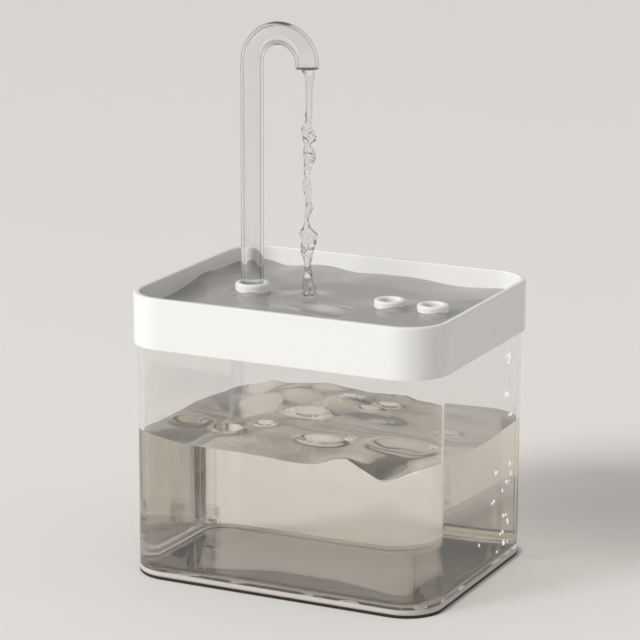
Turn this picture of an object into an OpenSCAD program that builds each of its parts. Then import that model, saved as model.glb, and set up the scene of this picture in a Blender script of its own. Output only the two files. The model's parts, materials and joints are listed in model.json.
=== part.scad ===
// Pet water fountain: a clear tank, a white drinking tray that lies on its rim, a clear
// swan-neck spout, two overflow drains over a filter box, and a sealed magnetic pump.
// Millimetres. +Z is up, +X to the right, -Y to the front. The origin is the middle of the
// underside, on the surface that the foot ring stands on.

/* [Tank] */
// Outside width of the tank, left to right
tank_w = 186; // [180:1:210]
// Outside depth of the tank, front to back
tank_d = 149; // [144:1:170]
// Height of the tank from its underside to its rim
tank_h = 142; // [120:1:170]
// Outside corner radius of the tank
tank_r = 22.4; // [18:0.2:28]
// Wall thickness of the tank
tank_wall = 3; // [2.4:0.1:3.4]
// Thickness of the tank's floor
tank_floor_t = 3; // [2.4:0.1:4]
// Radius inside, where the tank's floor meets its walls
tank_fillet_r = 5; // [3:0.5:6]
// Radius of the tank's outside bottom edge
tank_edge_r = 1; // [0.5:0.1:1.5]

/* [Foot ring] */
// Height of the rubber foot ring under the tank
foot_t = 2; // [1.5:0.1:4]
// Width of the foot ring's flat
foot_w = 6.5; // [5:0.5:10]
// Width of the tongue that keys the foot ring into the tank
tongue_w = 2; // [1.5:0.1:2.5]
// Height of that tongue
tongue_h = 1.2; // [0.8:0.1:1.5]

/* [Tray] */
// How far the tray stands out past the tank, each side
tray_overhang = 2; // [1.6:0.1:3]
// Depth of the drinking basin from the rim to its floor
basin_depth = 16; // [14:0.5:22]
// Thickness of the basin's wall
tray_wall = 3.5; // [3:0.1:4.5]
// Thickness of the basin's floor
tray_floor_t = 2.5; // [2:0.1:3.5]
// Depth of the skirt that hangs outside the tank
skirt_drop = 10.5; // [10:0.5:14]
// Radius of the rim's edges
tray_edge_r = 0.9; // [0.5:0.1:1.4]
// Radius where the basin's floor meets its walls
basin_fillet_r = 4; // [2:0.5:6]
// Depth of the rib that centres the tray inside the tank
locator_drop = 6; // [4:0.5:8]
// Thickness of ribs and spigots under the tray
rib_t = 1.6; // [1.2:0.1:2]
// Depth of the stiffening ribs under the tray
stiffener_drop = 3; // [2:0.5:4]
// Distance of the long stiffener in front of the middle
stiffener_y = 46; // [42:1:50]

/* [Gasket] */
// Thickness of the gasket between the rim and the tray
gasket_t = 1; // [0.8:0.1:1.5]
// Width of that gasket
gasket_w = 2.4; // [2:0.1:2.4]

/* [Spout] */
// Distance of the spout's axis from the tank's left side
spout_inset = 43; // [41:0.5:46]
// Outside diameter of the spout tube
tube_od = 13; // [12:0.5:14]
// Wall thickness of the spout tube
tube_wall = 1.7; // [1.4:0.1:2]
// Radius of the swan neck's centre line
bend_r = 17.2; // [15:0.2:24]
// Height of the bend's centre above the basin's floor
spout_rise = 138.6; // [90:1:180]
// Straight length of the spout below the bend, at its mouth
mouth_drop = 1.5; // [1:0.5:20]

/* [Spout collar] */
// Diameter of the collar that the spout stands in
collar_od = 19.7; // [19:0.1:22]
// Height of the collar above the basin's floor
collar_h = 12; // [8:0.5:16]
// Wall of the collar's stem, where it passes the tray
stem_wall = 1.7; // [1.5:0.1:2]
// Radius of the collar's top edge
collar_edge_r = 1.4; // [0.5:0.1:2]
// Thickness of the washer under the collar
washer_t = 0.8; // [0.5:0.1:1.2]
// Depth of the boss that the collar's stem turns in
collar_boss_drop = 3; // [2.5:0.1:3.5]
// Thickness of the spring clip that keeps the collar in
clip_t = 0.8; // [0.6:0.1:1]
// Width of the gap in that clip
clip_gap = 5; // [3:0.5:7]

/* [Spout socket] */
// Depth of tube held in the socket under the tray
socket_depth = 10.5; // [9:0.5:12]
// Wall of the socket round the tube
socket_wall = 3; // [2.8:0.1:3.4]
// Drop from the tray's underside to the socket's flange
socket_drop = 6; // [5.6:0.1:7]
// Thickness of the socket's flange
flange_t = 2.5; // [2:0.1:3]
// Distance of each flange screw from the spout's axis
flange_screw_x = 14.5; // [14:0.5:16]
// Thickness of the O-rings round the tube
spout_ring_d = 1.7; // [1.4:0.1:1.8]

/* [Outlet hose] */
// Bore of the water passages on the delivery side
outlet_bore_d = 6; // [5:0.5:6.5]
// Outside diameter of the barbs' root
barb_d = 8.6; // [8.2:0.2:9]
// Gap between the tips of the two barbs inside the hose
barb_gap = 3; // [2:0.5:4]
// Wall of the silicone hose
hose_wall = 1.2; // [1:0.1:1.3]

/* [Drains] */
// Distance of the drains' middle from the tank's right side
drain_inset = 43.85; // [42:0.5:50]
// Distance between the two drains
drain_pitch = 26.3; // [24:0.1:28]
// Outside diameter of a drain ring
drain_od = 17.7; // [16.8:0.1:19]
// Bore of a drain ring
drain_bore_d = 10.8; // [8:0.1:11.2]
// Height of a drain ring above the basin's floor
drain_h = 11; // [8:0.5:14]
// Diameter of the ring's stem where it passes the tray
drain_stem_d = 14.6; // [14.2:0.1:15]
// Height of the water slots' sill above the basin's floor
slot_sill = 2; // [1:0.5:3]
// Height of the water slots
slot_h = 3.5; // [2:0.5:4]
// Width of the water slots
slot_w = 2.2; // [1.5:0.1:3]
// Number of water slots round a ring
slot_count = 8; // [4:1:10]
// Thickness of a drain's O-ring
drain_ring_d = 1.4; // [1.2:0.1:1.4]

/* [Filter box] */
// Outside length of the filter box
filter_l = 60; // [56:1:62]
// Outside width of the filter box
filter_w = 38; // [32:1:44]
// Height of the filter box
filter_h = 16.5; // [14:0.5:24]
// Corner radius of the filter box
filter_r = 6; // [4:0.5:8]
// Wall of the filter box
filter_wall = 1.5; // [1.2:0.1:2]
// Thickness of the filter box's lid
lid_t = 1.8; // [1.4:0.1:2.4]
// Height of the carbon bed
carbon_h = 4.6; // [3:0.2:5.2]
// Height of the sponge under it
sponge_h = 2.6; // [2:0.2:3]
// Width of the slots in the box's floor
grate_slot = 2; // [1.2:0.1:2.4]
// Distance between those slots
grate_pitch = 4.4; // [4:0.2:6]
// Length of each thumb tab
tab_l = 16; // [10:1:20]
// How far each thumb tab stands out
tab_reach = 4; // [3:0.5:5]

/* [Pump] */
// Distance of the pump's axis from the tank's back face
pump_inset = 34.5; // [33:0.5:36]
// How far the pump's axis stands left of the spout's
pump_shift = 10; // [9:0.5:11]
// Outside radius of the motor housing
motor_r = 18; // [17.5:0.1:19]
// Height of the motor housing
motor_h = 15.5; // [15:0.5:18]
// Wall of the motor housing
motor_wall = 1.5; // [1.2:0.1:1.8]
// Gap between the motor's cap and the tray
motor_top_gap = 1.5; // [1:0.1:2.5]
// Radius of the magnet in the rotor
magnet_r = 6.8; // [6:0.1:7]
// Height of the volute's chamber
chamber_h = 9; // [8.5:0.1:10]
// Radius of the volute's chamber
chamber_r = 12; // [11.5:0.1:12.5]
// Wall round the chamber
volute_wall = 4; // [3.8:0.1:4.5]
// Radius of the impeller
impeller_r = 10; // [8.5:0.1:10.5]
// Height of the impeller's vanes
vane_h = 4; // [3:0.1:4.4]
// Thickness of a vane
vane_t = 1; // [0.8:0.1:1.3]
// Number of vanes
vane_count = 6; // [4:1:7]
// Radius of the impeller's eye
eye_r = 6.5; // [6:0.1:6.8]
// Radius of the ceramic shaft
shaft_r = 1.25; // [1:0.05:1.4]
// Number of stator teeth
tooth_count = 6; // [4:1:6]
// Height of the stator's stack
stack_h = 5; // [4:0.5:5.5]

/* [Intake] */
// Distance of the drop tube from the pump's axis
intake_reach = 20; // [19.5:0.5:21]
// Outside diameter of the drop tube
drop_od = 9; // [8:0.5:9.5]
// Wall of the drop tube
drop_wall = 1.3; // [1:0.1:1.5]
// Height of the intake channel
channel_h = 3; // [2.5:0.1:3.5]
// Diameter of the foot strainer
strainer_d = 14; // [13.6:0.1:14.4]
// Gap between the strainer and the tank's floor
strainer_gap = 1.5; // [1:0.1:4]
// Number of slots round the strainer
strainer_slots = 12; // [8:1:14]
// Lift of the foot valve's disc
valve_lift = 2; // [1.5:0.1:2.5]

/* [Lead] */
// Width of the notches that the lead leaves by
lead_notch_w = 6; // [5:0.5:8]
// Depth of the notch in the tank's rim
rim_notch_drop = 7.5; // [6:0.5:10]
// Web of the skirt that is left above its notch
skirt_notch_web = 3; // [2:0.5:4]
// Diameter of the lead that the gland takes
lead_d = 3.5; // [3:0.1:4]
// Outside diameter of the rubber gland
gland_d = 6; // [5.6:0.1:6.4]

/* [Fits] */
// Radial gap of parts that turn or slide on each other
running_gap = 0.06; // [0.04:0.01:0.1]
// Gap of fixed parts that plug together
seat_gap = 0.05; // [0.02:0.01:0.08]
// Gap of parts that drop into place
drop_gap = 0.3; // [0.2:0.05:0.4]
// Gap between the skirt and the outside of the tank
skirt_gap = 0.35; // [0.3:0.05:0.5]

/* [Hidden] */
$fn = 64;
eps = 0.01;
cut = 1;

// Heights, from the table up
tank_base_z = foot_t;
tank_floor_z = tank_base_z + tank_floor_t;
rim_z = tank_base_z + tank_h;
tray_under_z = rim_z + gasket_t;
tray_floor_z = tray_under_z + tray_floor_t;
tray_top_z = tray_floor_z + basin_depth;
skirt_z = tray_under_z - skirt_drop;

// Outlines
tank_in_w = tank_w - 2 * tank_wall;
tank_in_d = tank_d - 2 * tank_wall;
tank_in_r = tank_r - tank_wall;
tray_w = tank_w + 2 * tray_overhang;
tray_d = tank_d + 2 * tray_overhang;
tray_r = tank_r + tray_overhang;
basin_w = tray_w - 2 * tray_wall;
basin_d = tray_d - 2 * tray_wall;
basin_r = tray_r - tray_wall;
locator_gap = 0.4;
locator_w = tank_in_w - 2 * locator_gap;
locator_d = tank_in_d - 2 * locator_gap;
locator_r = tank_in_r - locator_gap;
rim_chamfer = 0.5;
foot_chamfer = 0.6;

// Spout, collar and socket
spout_x = -tank_w / 2 + spout_inset;
spout_bend_z = tray_floor_z + spout_rise;
tube_r = tube_od / 2;
tube_bore_r = tube_r - tube_wall;
guide_r = tube_r + running_gap;
stem_r = guide_r + stem_wall;
collar_boss_r = stem_r + running_gap + 3.4;
collar_boss_z = tray_under_z - collar_boss_drop;
clip_clear = 0.15;
clip_z = collar_boss_z - clip_clear - clip_t;
clip_bite = 0.8;
stem_z = clip_z - 1;
socket_top_z = tray_under_z - socket_drop;
socket_r = guide_r + socket_wall;
tube_seat_z = socket_top_z - socket_depth;
tube_end_z = tube_seat_z + drop_gap;
ring_groove_depth = spout_ring_d;
ring_groove_h = spout_ring_d + 0.3;
ring_zs = [socket_top_z - 3, socket_top_z - 7];
flange_ear_r = 4.2;
screw_r = 1.25;
screw_head_r = 2.3;
screw_head_h = 1.6;
pilot_depth = 4.5;

// Pump, from the tray down
pump_x = spout_x - pump_shift;
pump_y = tank_d / 2 - pump_inset;
cap_t = 2;
motor_top_z = tray_under_z - motor_top_gap - cap_t;
motor_z = motor_top_z - motor_h;
motor_in_r = motor_r - motor_wall;
well_gap = 0.7;
well_wall = 0.9;
well_r = magnet_r + well_gap;
well_out_r = well_r + well_wall;
well_top_z = motor_top_z - 3;
bush_r = 3;
bush_h = 2.2;
bush_boss_r = bush_r + 1.4;
magnet_z = motor_z - 1;
magnet_top_z = well_top_z - bush_h - 1;
volute_r = chamber_r + volute_wall;
volute_floor_t = 2;
chamber_z = motor_z - chamber_h;
volute_z = chamber_z - volute_floor_t;
channel_z = volute_z - 1 - channel_h;
plate_t = 1.5;
plate_z = channel_z - plate_t;
outlet_bore_r = outlet_bore_d / 2;
barb_r = barb_d / 2;
barb_lip = 0.35;
hose_in_r = barb_r + barb_lip + seat_gap;
hose_r = hose_in_r + hose_wall;
outlet_z = motor_z - hose_r - drop_gap;
barb_len = (pump_y - volute_r - socket_r - barb_gap) / 2;
ear_r = 3.4;
volute_ear_pcr = volute_r + 4.4;
volute_ear_angles = [20, 142, 250];
volute_ear_h = 3;
mount_ear_pcr = motor_r + 4.6;
mount_ear_angles = [0, 90, 270];
mount_ear_t = 2.5;
mount_ear_z = motor_top_z - 4.5;
spider_hub_r = bush_r;
spider_arm_w = 1.2;
lower_bush_r = 2.1;
core_gap = 0.15;
tooth_tip_r = well_out_r + core_gap;
yoke_r = motor_in_r - core_gap;
yoke_t = 1.6;
stack_z = motor_z + motor_wall + 1.5;
tooth_w = 2.4;
coil_t = 1.1;
coil_in_r = tooth_tip_r + 0.9;
coil_out_r = yoke_r - yoke_t - 0.2;
board_t = 1;
board_z = well_top_z - 2.6;
seal_ring_d = 1.5;
seal_ring_r = chamber_r + volute_wall / 2;

// Intake, from the pump down to the tank's floor
intake_x = pump_x - intake_reach;
drop_r = drop_od / 2;
drop_bore_r = drop_r - drop_wall;
channel_half_w = eye_r;
intake_boss_r = drop_r + seat_gap + 1.7;
intake_boss_z = plate_z - 4;
drop_top_z = channel_z;
strainer_z = tank_floor_z + strainer_gap;
strainer_r = strainer_d / 2;
strainer_cup_h = 4;
strainer_wall = 1.2;
seat_t = 1.5;
valve_seat_z = strainer_z + strainer_cup_h + seat_t;
valve_t = 1.2;
valve_fin_h = 1;
valve_r = drop_r - 0.7;
valve_chamber_r = drop_r - 0.2;
drop_bottom_z = valve_seat_z + valve_t + valve_fin_h + valve_lift + 0.1;
strainer_top_z = drop_bottom_z + 5;

// Drains and filter
drain_x = tank_w / 2 - drain_inset;
drain_boss_drop = 2.5;
drain_boss_r = drain_stem_d / 2 + 1.9;
drain_stem_z = tray_under_z - drain_boss_drop + 0.3;
drain_stem_r = drain_stem_d / 2;
drain_bore_r = drain_bore_d / 2;
drain_groove_h = drain_ring_d + 0.3;
drain_groove_z = (tray_floor_z + drain_stem_z - drain_groove_h) / 2;
drain_groove_r = drain_stem_r + running_gap - drain_ring_d;
drain_edge_r = 1.1;
filter_top_z = tray_under_z - 3;
filter_z = filter_top_z - filter_h;
spigot_gap = 0.2;
spigot_drop = 7;
lid_z = filter_top_z - lid_t;
cotton_z = filter_z + filter_wall + sponge_h + carbon_h + 2 * drop_gap;
inlet_r = drain_bore_r + 1.2;

// Lead
lead_x = spout_x;
lead_sill_z = rim_z - rim_notch_drop;
lead_top_z = tray_under_z - skirt_notch_web;
gland_z = motor_top_z - 4.7;
gland_len = 8;
gland_boss_len = motor_r + 3;
gland_start = motor_r - 2;

// ---- Shared shapes ----

// Rounded rectangle about the origin, with true arcs
module rounded(w, d, r) {
    square([w - 2 * r, d], center = true);
    square([w, d - 2 * r], center = true);
    for (x = [-1, 1], y = [-1, 1])
        translate([x * (w / 2 - r), y * (d / 2 - r)]) circle(r);
}

module slab(w, d, r, h) {
    linear_extrude(height = h) rounded(w, d, r);
}

// Wall of thickness t inside the outline w by d
module wall_ring(w, d, r, t, h) {
    linear_extrude(height = h) difference() {
        rounded(w, d, r);
        rounded(w - 2 * t, d - 2 * t, r - t);
    }
}

// Runs a profile round the outline w by d: its X is measured out from the outline, its Y up
module around(w, d, r) {
    run_x = w / 2 - r;
    run_y = d / 2 - r;
    for (turn = [0, 180]) rotate(turn) {
        translate([run_x + r, run_y, 0]) rotate([90, 0, 0]) linear_extrude(height = 2 * run_y) children();
        rotate(90) translate([run_y + r, run_x, 0]) rotate([90, 0, 0])
            linear_extrude(height = 2 * run_x) children();
    }
    for (i = [0:3])
        translate([(i == 0 || i == 3 ? 1 : -1) * run_x, (i < 2 ? 1 : -1) * run_y, 0])
            rotate(90 * i) rotate_extrude(angle = 90) translate([r, 0]) children();
}

// Rounded bottom corner of radius r, with a heel that laps into the slab beside it
module soft_corner(r) {
    intersection() {
        circle(r);
        translate([0, -r]) square(r);
    }
    translate([-r / 2, eps - r]) square([r / 2 + eps, r]);
}

// Slab whose bottom edges are rounded to f
module soft_slab(w, d, r, h, f) {
    translate([0, 0, f]) slab(w, d, r, h - f);
    slab(w - 2 * f, d - 2 * f, r - f, 2 * f);
    translate([0, 0, f]) around(w, d, r) translate([-f, 0]) soft_corner(f);
}

// Straight-sided ring
module tube(r_out, r_in, h) {
    linear_extrude(height = h) difference() {
        circle(r_out);
        circle(r_in);
    }
}

// O-ring lying flat, centred on its own height
module o_ring(r_mid, d) {
    rotate_extrude() translate([r_mid, 0]) circle(d / 2, $fn = 32);
}

// Pan-head screw that points up, its head's underside at z = 0
module screw(len) {
    cylinder(r = screw_r - seat_gap, h = len);
    translate([0, 0, -screw_head_h]) cylinder(r1 = screw_head_r - 0.5, r2 = screw_head_r, h = screw_head_h);
}

// Places children round the pump's axis
module at_pump(angles, radius) {
    for (a = angles) translate([pump_x, pump_y, 0]) rotate(a) translate([radius, 0, 0]) children();
}

// ---- Tank ----

module tank() {
    color("aliceblue", 0.35) difference() {
        translate([0, 0, tank_base_z]) soft_slab(tank_w, tank_d, tank_r, tank_h, tank_edge_r);
        translate([0, 0, tank_floor_z])
            soft_slab(tank_in_w, tank_in_d, tank_in_r, tank_h, tank_fillet_r);
        rim_bevels();
        translate([0, 0, tank_base_z - cut]) foot_tongue(tongue_w + 2 * seat_gap, tongue_h + seat_gap + cut);
        lead_notch(lead_sill_z, rim_z + cut);
    }
}

module rim_bevels() {
    translate([0, 0, rim_z]) {
        around(tank_w, tank_d, tank_r)
            polygon([[cut, cut], [-rim_chamfer - cut, cut], [cut, -rim_chamfer - cut]]);
        around(tank_in_w, tank_in_d, tank_in_r)
            polygon([[-cut, cut], [rim_chamfer + cut, cut], [-cut, -rim_chamfer - cut]]);
    }
}

module foot_tongue(w, h) {
    around(tank_w, tank_d, tank_r) translate([-foot_w / 2 - w / 2, 0]) square([w, h]);
}

module foot_ring() {
    color("black") {
        around(tank_w, tank_d, tank_r) polygon([
            [-foot_w + foot_chamfer, 0], [-foot_chamfer, 0], [0, foot_chamfer],
            [0, foot_t], [-foot_w, foot_t], [-foot_w, foot_chamfer]
        ]);
        translate([0, 0, foot_t - eps]) foot_tongue(tongue_w, tongue_h + eps);
    }
}

// Slot through locator rib, tank wall and skirt at the back
module lead_notch(z0, z1) {
    inner_y = locator_d / 2 - rib_t - cut;
    translate([lead_x - lead_notch_w / 2, inner_y, z0])
        cube([lead_notch_w, tray_d / 2 + cut - inner_y, z1 - z0]);
}

// ---- Tray ----

module tray() {
    color("white") difference() {
        union() {
            tray_shell();
            tray_underside();
        }
        translate([spout_x, 0, skirt_z]) cylinder(r = stem_r + running_gap, h = basin_depth + skirt_drop);
        at_drains() translate([0, 0, skirt_z]) cylinder(r = drain_stem_r + running_gap, h = tray_top_z - skirt_z);
        at_flange_screws() translate([0, 0, socket_top_z - cut]) cylinder(r = screw_r, h = pilot_depth + cut);
        at_pump(mount_ear_angles, mount_ear_pcr) translate([0, 0, mount_ear_z + mount_ear_t - cut])
            cylinder(r = screw_r, h = pilot_depth + cut);
        lead_notch(skirt_z - cut, lead_top_z);
    }
}

module tray_shell() {
    difference() {
        translate([0, 0, tray_top_z]) mirror([0, 0, 1])
            soft_slab(tray_w, tray_d, tray_r, tray_top_z - skirt_z, tray_edge_r);
        translate([0, 0, skirt_z - cut])
            slab(tank_w + 2 * skirt_gap, tank_d + 2 * skirt_gap, tank_r + skirt_gap, skirt_drop + cut);
        translate([0, 0, tray_floor_z])
            soft_slab(basin_w, basin_d, basin_r, basin_depth + cut, basin_fillet_r);
        translate([0, 0, tray_top_z]) around(basin_w, basin_d, basin_r) inner_edge_cut(tray_edge_r);
    }
}

// What a cutter takes off a square inside edge to leave it rounded to r
module inner_edge_cut(r) {
    difference() {
        translate([-cut, -r]) square([r + cut, r + cut]);
        translate([r, -r]) circle(r);
    }
}

module tray_underside() {
    translate([0, 0, tray_under_z - locator_drop])
        wall_ring(locator_w, locator_d, locator_r, rib_t, locator_drop + eps);
    translate([spout_x, 0, collar_boss_z]) cylinder(r = collar_boss_r, h = collar_boss_drop + eps);
    at_drains() translate([0, 0, tray_under_z - drain_boss_drop])
        cylinder(r = drain_boss_r, h = drain_boss_drop + eps);
    translate([drain_x, 0, tray_under_z - spigot_drop])
        wall_ring(filter_l + 2 * (spigot_gap + rib_t), filter_w + 2 * (spigot_gap + rib_t),
                  filter_r + spigot_gap + rib_t, rib_t, spigot_drop + eps);
    at_flange_screws() translate([0, 0, socket_top_z]) cylinder(r = flange_ear_r - 0.8, h = socket_drop + eps);
    at_pump(mount_ear_angles, mount_ear_pcr) translate([0, 0, mount_ear_z + mount_ear_t])
        cylinder(r = ear_r, h = tray_under_z - mount_ear_z - mount_ear_t + eps);
    stiffeners();
}

module stiffeners() {
    translate([-locator_w / 2 + rib_t, -stiffener_y, tray_under_z - stiffener_drop])
        cube([locator_w - 2 * rib_t, rib_t, stiffener_drop + eps]);
    translate([-rib_t / 2, -locator_d / 2 + rib_t, tray_under_z - stiffener_drop])
        cube([rib_t, locator_d - 2 * rib_t, stiffener_drop + eps]);
}

module tray_gasket() {
    color("gainsboro") translate([0, 0, rim_z])
        around(tank_w - tank_wall, tank_d - tank_wall, tank_r - tank_wall / 2)
            translate([-gasket_w / 2, 0]) square([gasket_w, gasket_t]);
}

// ---- Spout, collar and socket ----

module spout_tube() {
    color("aliceblue", 0.4) translate([spout_x, 0, 0]) {
        translate([0, 0, tube_end_z]) tube(tube_r, tube_bore_r, spout_bend_z - tube_end_z);
        translate([bend_r, 0, spout_bend_z]) rotate([90, 0, 0])
            rotate_extrude(angle = 180) translate([bend_r, 0]) difference() {
                circle(tube_r);
                circle(tube_bore_r);
            }
        translate([2 * bend_r, 0, spout_bend_z - mouth_drop]) tube(tube_r, tube_bore_r, mouth_drop);
    }
}

module spout_collar() {
    collar_z = tray_floor_z + washer_t;
    color("white") translate([spout_x, 0, 0]) difference() {
        union() {
            rotate_extrude() difference() {
                union() {
                    translate([0, collar_z]) square([collar_od / 2, collar_h - washer_t - collar_edge_r]);
                    translate([0, collar_z]) square([collar_od / 2 - collar_edge_r, collar_h - washer_t]);
                    translate([collar_od / 2 - collar_edge_r, collar_z + collar_h - washer_t - collar_edge_r])
                        circle(collar_edge_r);
                    translate([0, stem_z]) square([stem_r, collar_z - stem_z + eps]);
                }
                translate([stem_r - clip_bite, clip_z - clip_clear / 2])
                    square([clip_bite + cut, clip_t + clip_clear]);
            }
        }
        translate([0, 0, stem_z - cut]) cylinder(r = guide_r, h = socket_top_z + collar_h + basin_depth);
        translate([0, 0, tray_floor_z + collar_h - 0.8]) cylinder(r1 = guide_r, r2 = guide_r + cut, h = cut);
    }
}

module collar_clip() {
    color("silver") translate([spout_x, 0, clip_z]) difference() {
        tube(stem_r + 1.6, stem_r - clip_bite + seat_gap, clip_t);
        translate([0, -clip_gap / 2, -cut]) cube([stem_r + 3, clip_gap, clip_t + 2 * cut]);
    }
}

module collar_washer() {
    color("gainsboro") translate([spout_x, 0, tray_floor_z])
        tube(collar_od / 2, stem_r + 0.2, washer_t);
}

module at_flange_screws() {
    for (side = [-1, 1]) translate([spout_x + side * flange_screw_x, 0, 0]) children();
}

module spout_socket() {
    body_z = outlet_z - outlet_bore_r - 1.2;
    color("whitesmoke") difference() {
        union() {
            translate([spout_x, 0, body_z]) cylinder(r = socket_r, h = socket_top_z - body_z);
            at_flange_screws() translate([0, 0, socket_top_z - flange_t]) cylinder(r = flange_ear_r, h = flange_t);
            translate([spout_x - flange_screw_x, -flange_ear_r, socket_top_z - flange_t])
                cube([2 * flange_screw_x, 2 * flange_ear_r, flange_t]);
            translate([spout_x, socket_r - 2, outlet_z]) rotate([-90, 0, 0]) barb(barb_len + 2);
        }
        translate([spout_x, 0, tube_seat_z]) cylinder(r = guide_r, h = socket_depth + cut);
        translate([spout_x, 0, socket_top_z - 0.6]) cylinder(r1 = guide_r, r2 = guide_r + 0.8, h = 0.8);
        translate([spout_x, 0, tube_seat_z - 3]) cylinder(r1 = outlet_bore_r, r2 = tube_bore_r, h = 3 + eps);
        translate([spout_x, 0, outlet_z]) cylinder(r = outlet_bore_r, h = tube_seat_z - outlet_z);
        translate([spout_x, 0, outlet_z]) sphere(outlet_bore_r);
        translate([spout_x, 0, outlet_z]) rotate([-90, 0, 0])
            cylinder(r = outlet_bore_r, h = socket_r + barb_len + cut);
        for (z = ring_zs) translate([spout_x, 0, z - ring_groove_h / 2])
            tube(guide_r + ring_groove_depth, guide_r - cut, ring_groove_h);
        at_flange_screws() translate([0, 0, socket_top_z - flange_t - cut])
            cylinder(r = screw_r + 0.15, h = flange_t + 2 * cut);
    }
}

// Hose barb along +Z: a plain root and one tapered lip at its end
module barb(len) {
    cylinder(r = barb_r, h = len);
    translate([0, 0, len - 2]) cylinder(r1 = barb_r + barb_lip, r2 = barb_r - 0.4, h = 2);
}

module socket_o_rings() {
    color("dimgray") for (z = ring_zs)
        translate([spout_x, 0, z]) o_ring(guide_r + spout_ring_d / 2, spout_ring_d);
}

module socket_screws() {
    color("silver") at_flange_screws() translate([0, 0, socket_top_z - flange_t])
        screw(flange_t + pilot_depth - 0.5);
}

module outlet_hose() {
    start_y = socket_r + 0.1;
    end_y = pump_y - volute_r - 0.1;
    color("whitesmoke", 0.7) translate([spout_x, start_y, outlet_z]) rotate([-90, 0, 0])
        tube(hose_r, hose_in_r, end_y - start_y);
}

// ---- Pump ----

module pump_volute() {
    color("lightgray") difference() {
        union() {
            translate([pump_x, pump_y, volute_z]) cylinder(r = volute_r, h = motor_z - volute_z);
            intake_block();
            at_pump(volute_ear_angles, volute_ear_pcr) translate([0, 0, motor_z - volute_ear_h])
                cylinder(r = ear_r, h = volute_ear_h);
            at_pump(volute_ear_angles, volute_r - 2) translate([0, -ear_r, motor_z - volute_ear_h])
                cube([volute_ear_pcr - volute_r + 2, 2 * ear_r, volute_ear_h]);
            translate([spout_x, pump_y, outlet_z]) rotate([90, 0, 0]) outlet_spigot();
        }
        translate([pump_x, pump_y, chamber_z]) cylinder(r = chamber_r, h = chamber_h + cut);
        difference() {
            translate([pump_x, pump_y, channel_z]) cylinder(r = eye_r, h = chamber_z - channel_z + cut);
            shaft_spider();
        }
        translate([intake_x, pump_y - 3.2, channel_z - cut]) cube([intake_reach, 6.4, channel_h + cut]);
        translate([intake_x, pump_y, channel_z - cut]) cylinder(r = drop_bore_r, h = channel_h + cut);
        translate([intake_x, pump_y, intake_boss_z - cut])
            cylinder(r = drop_r + seat_gap, h = drop_top_z - intake_boss_z + cut);
        translate([spout_x, pump_y, outlet_z]) rotate([90, 0, 0])
            cylinder(r = outlet_bore_r, h = volute_r + barb_len + cut);
        translate([pump_x, pump_y, motor_z - seal_ring_d])
            tube(seal_ring_r + seal_ring_d / 2 + 0.1, seal_ring_r - seal_ring_d / 2 - 0.1, seal_ring_d + cut);
        at_pump(volute_ear_angles, volute_ear_pcr) translate([0, 0, motor_z - volute_ear_h - cut])
            cylinder(r = screw_r + 0.15, h = volute_ear_h + 2 * cut);
    }
}

// Block under the chamber that carries the intake channel and the drop tube's socket
module intake_block() {
    top_z = volute_z + 1.5;
    translate([pump_x, pump_y, channel_z]) cylinder(r = eye_r + 2.2, h = volute_z - channel_z + eps);
    translate([intake_x, pump_y - intake_boss_r, channel_z])
        cube([intake_reach, 2 * intake_boss_r, top_z - channel_z]);
    translate([intake_x, pump_y, intake_boss_z]) cylinder(r = intake_boss_r, h = top_z - intake_boss_z);
}

// Hub in the eye that holds the shaft's lower bush, on three arms
module shaft_spider() {
    translate([pump_x, pump_y, volute_z]) {
        difference() {
            cylinder(r = spider_hub_r, h = volute_floor_t);
            translate([0, 0, -cut]) cylinder(r = lower_bush_r + seat_gap, h = volute_floor_t + 2 * cut);
        }
        for (a = [60, 180, 300]) rotate(a) translate([lower_bush_r + 0.4, -spider_arm_w / 2, 0])
            cube([eye_r - lower_bush_r, spider_arm_w, volute_floor_t]);
    }
}

module outlet_spigot() {
    cylinder(r = barb_r + 1, h = volute_r);
    translate([0, 0, volute_r - eps]) barb(barb_len + eps);
}

module volute_o_ring() {
    color("dimgray") translate([pump_x, pump_y, motor_z - seal_ring_d / 2]) o_ring(seal_ring_r, seal_ring_d);
}

module intake_plate() {
    color("lightgray") difference() {
        union() {
            translate([pump_x, pump_y, plate_z]) cylinder(r = eye_r + 2.2, h = plate_t);
            translate([intake_x + intake_boss_r + 0.3, pump_y - intake_boss_r, plate_z])
                cube([intake_reach - intake_boss_r, 2 * intake_boss_r, plate_t]);
        }
        translate([intake_x, pump_y, plate_z - cut]) cylinder(r = intake_boss_r + seat_gap, h = plate_t + 2 * cut);
    }
}

module volute_screws() {
    color("silver") at_pump(volute_ear_angles, volute_ear_pcr)
        translate([0, 0, motor_z - volute_ear_h]) screw(volute_ear_h + pilot_depth - 0.5);
}

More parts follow.
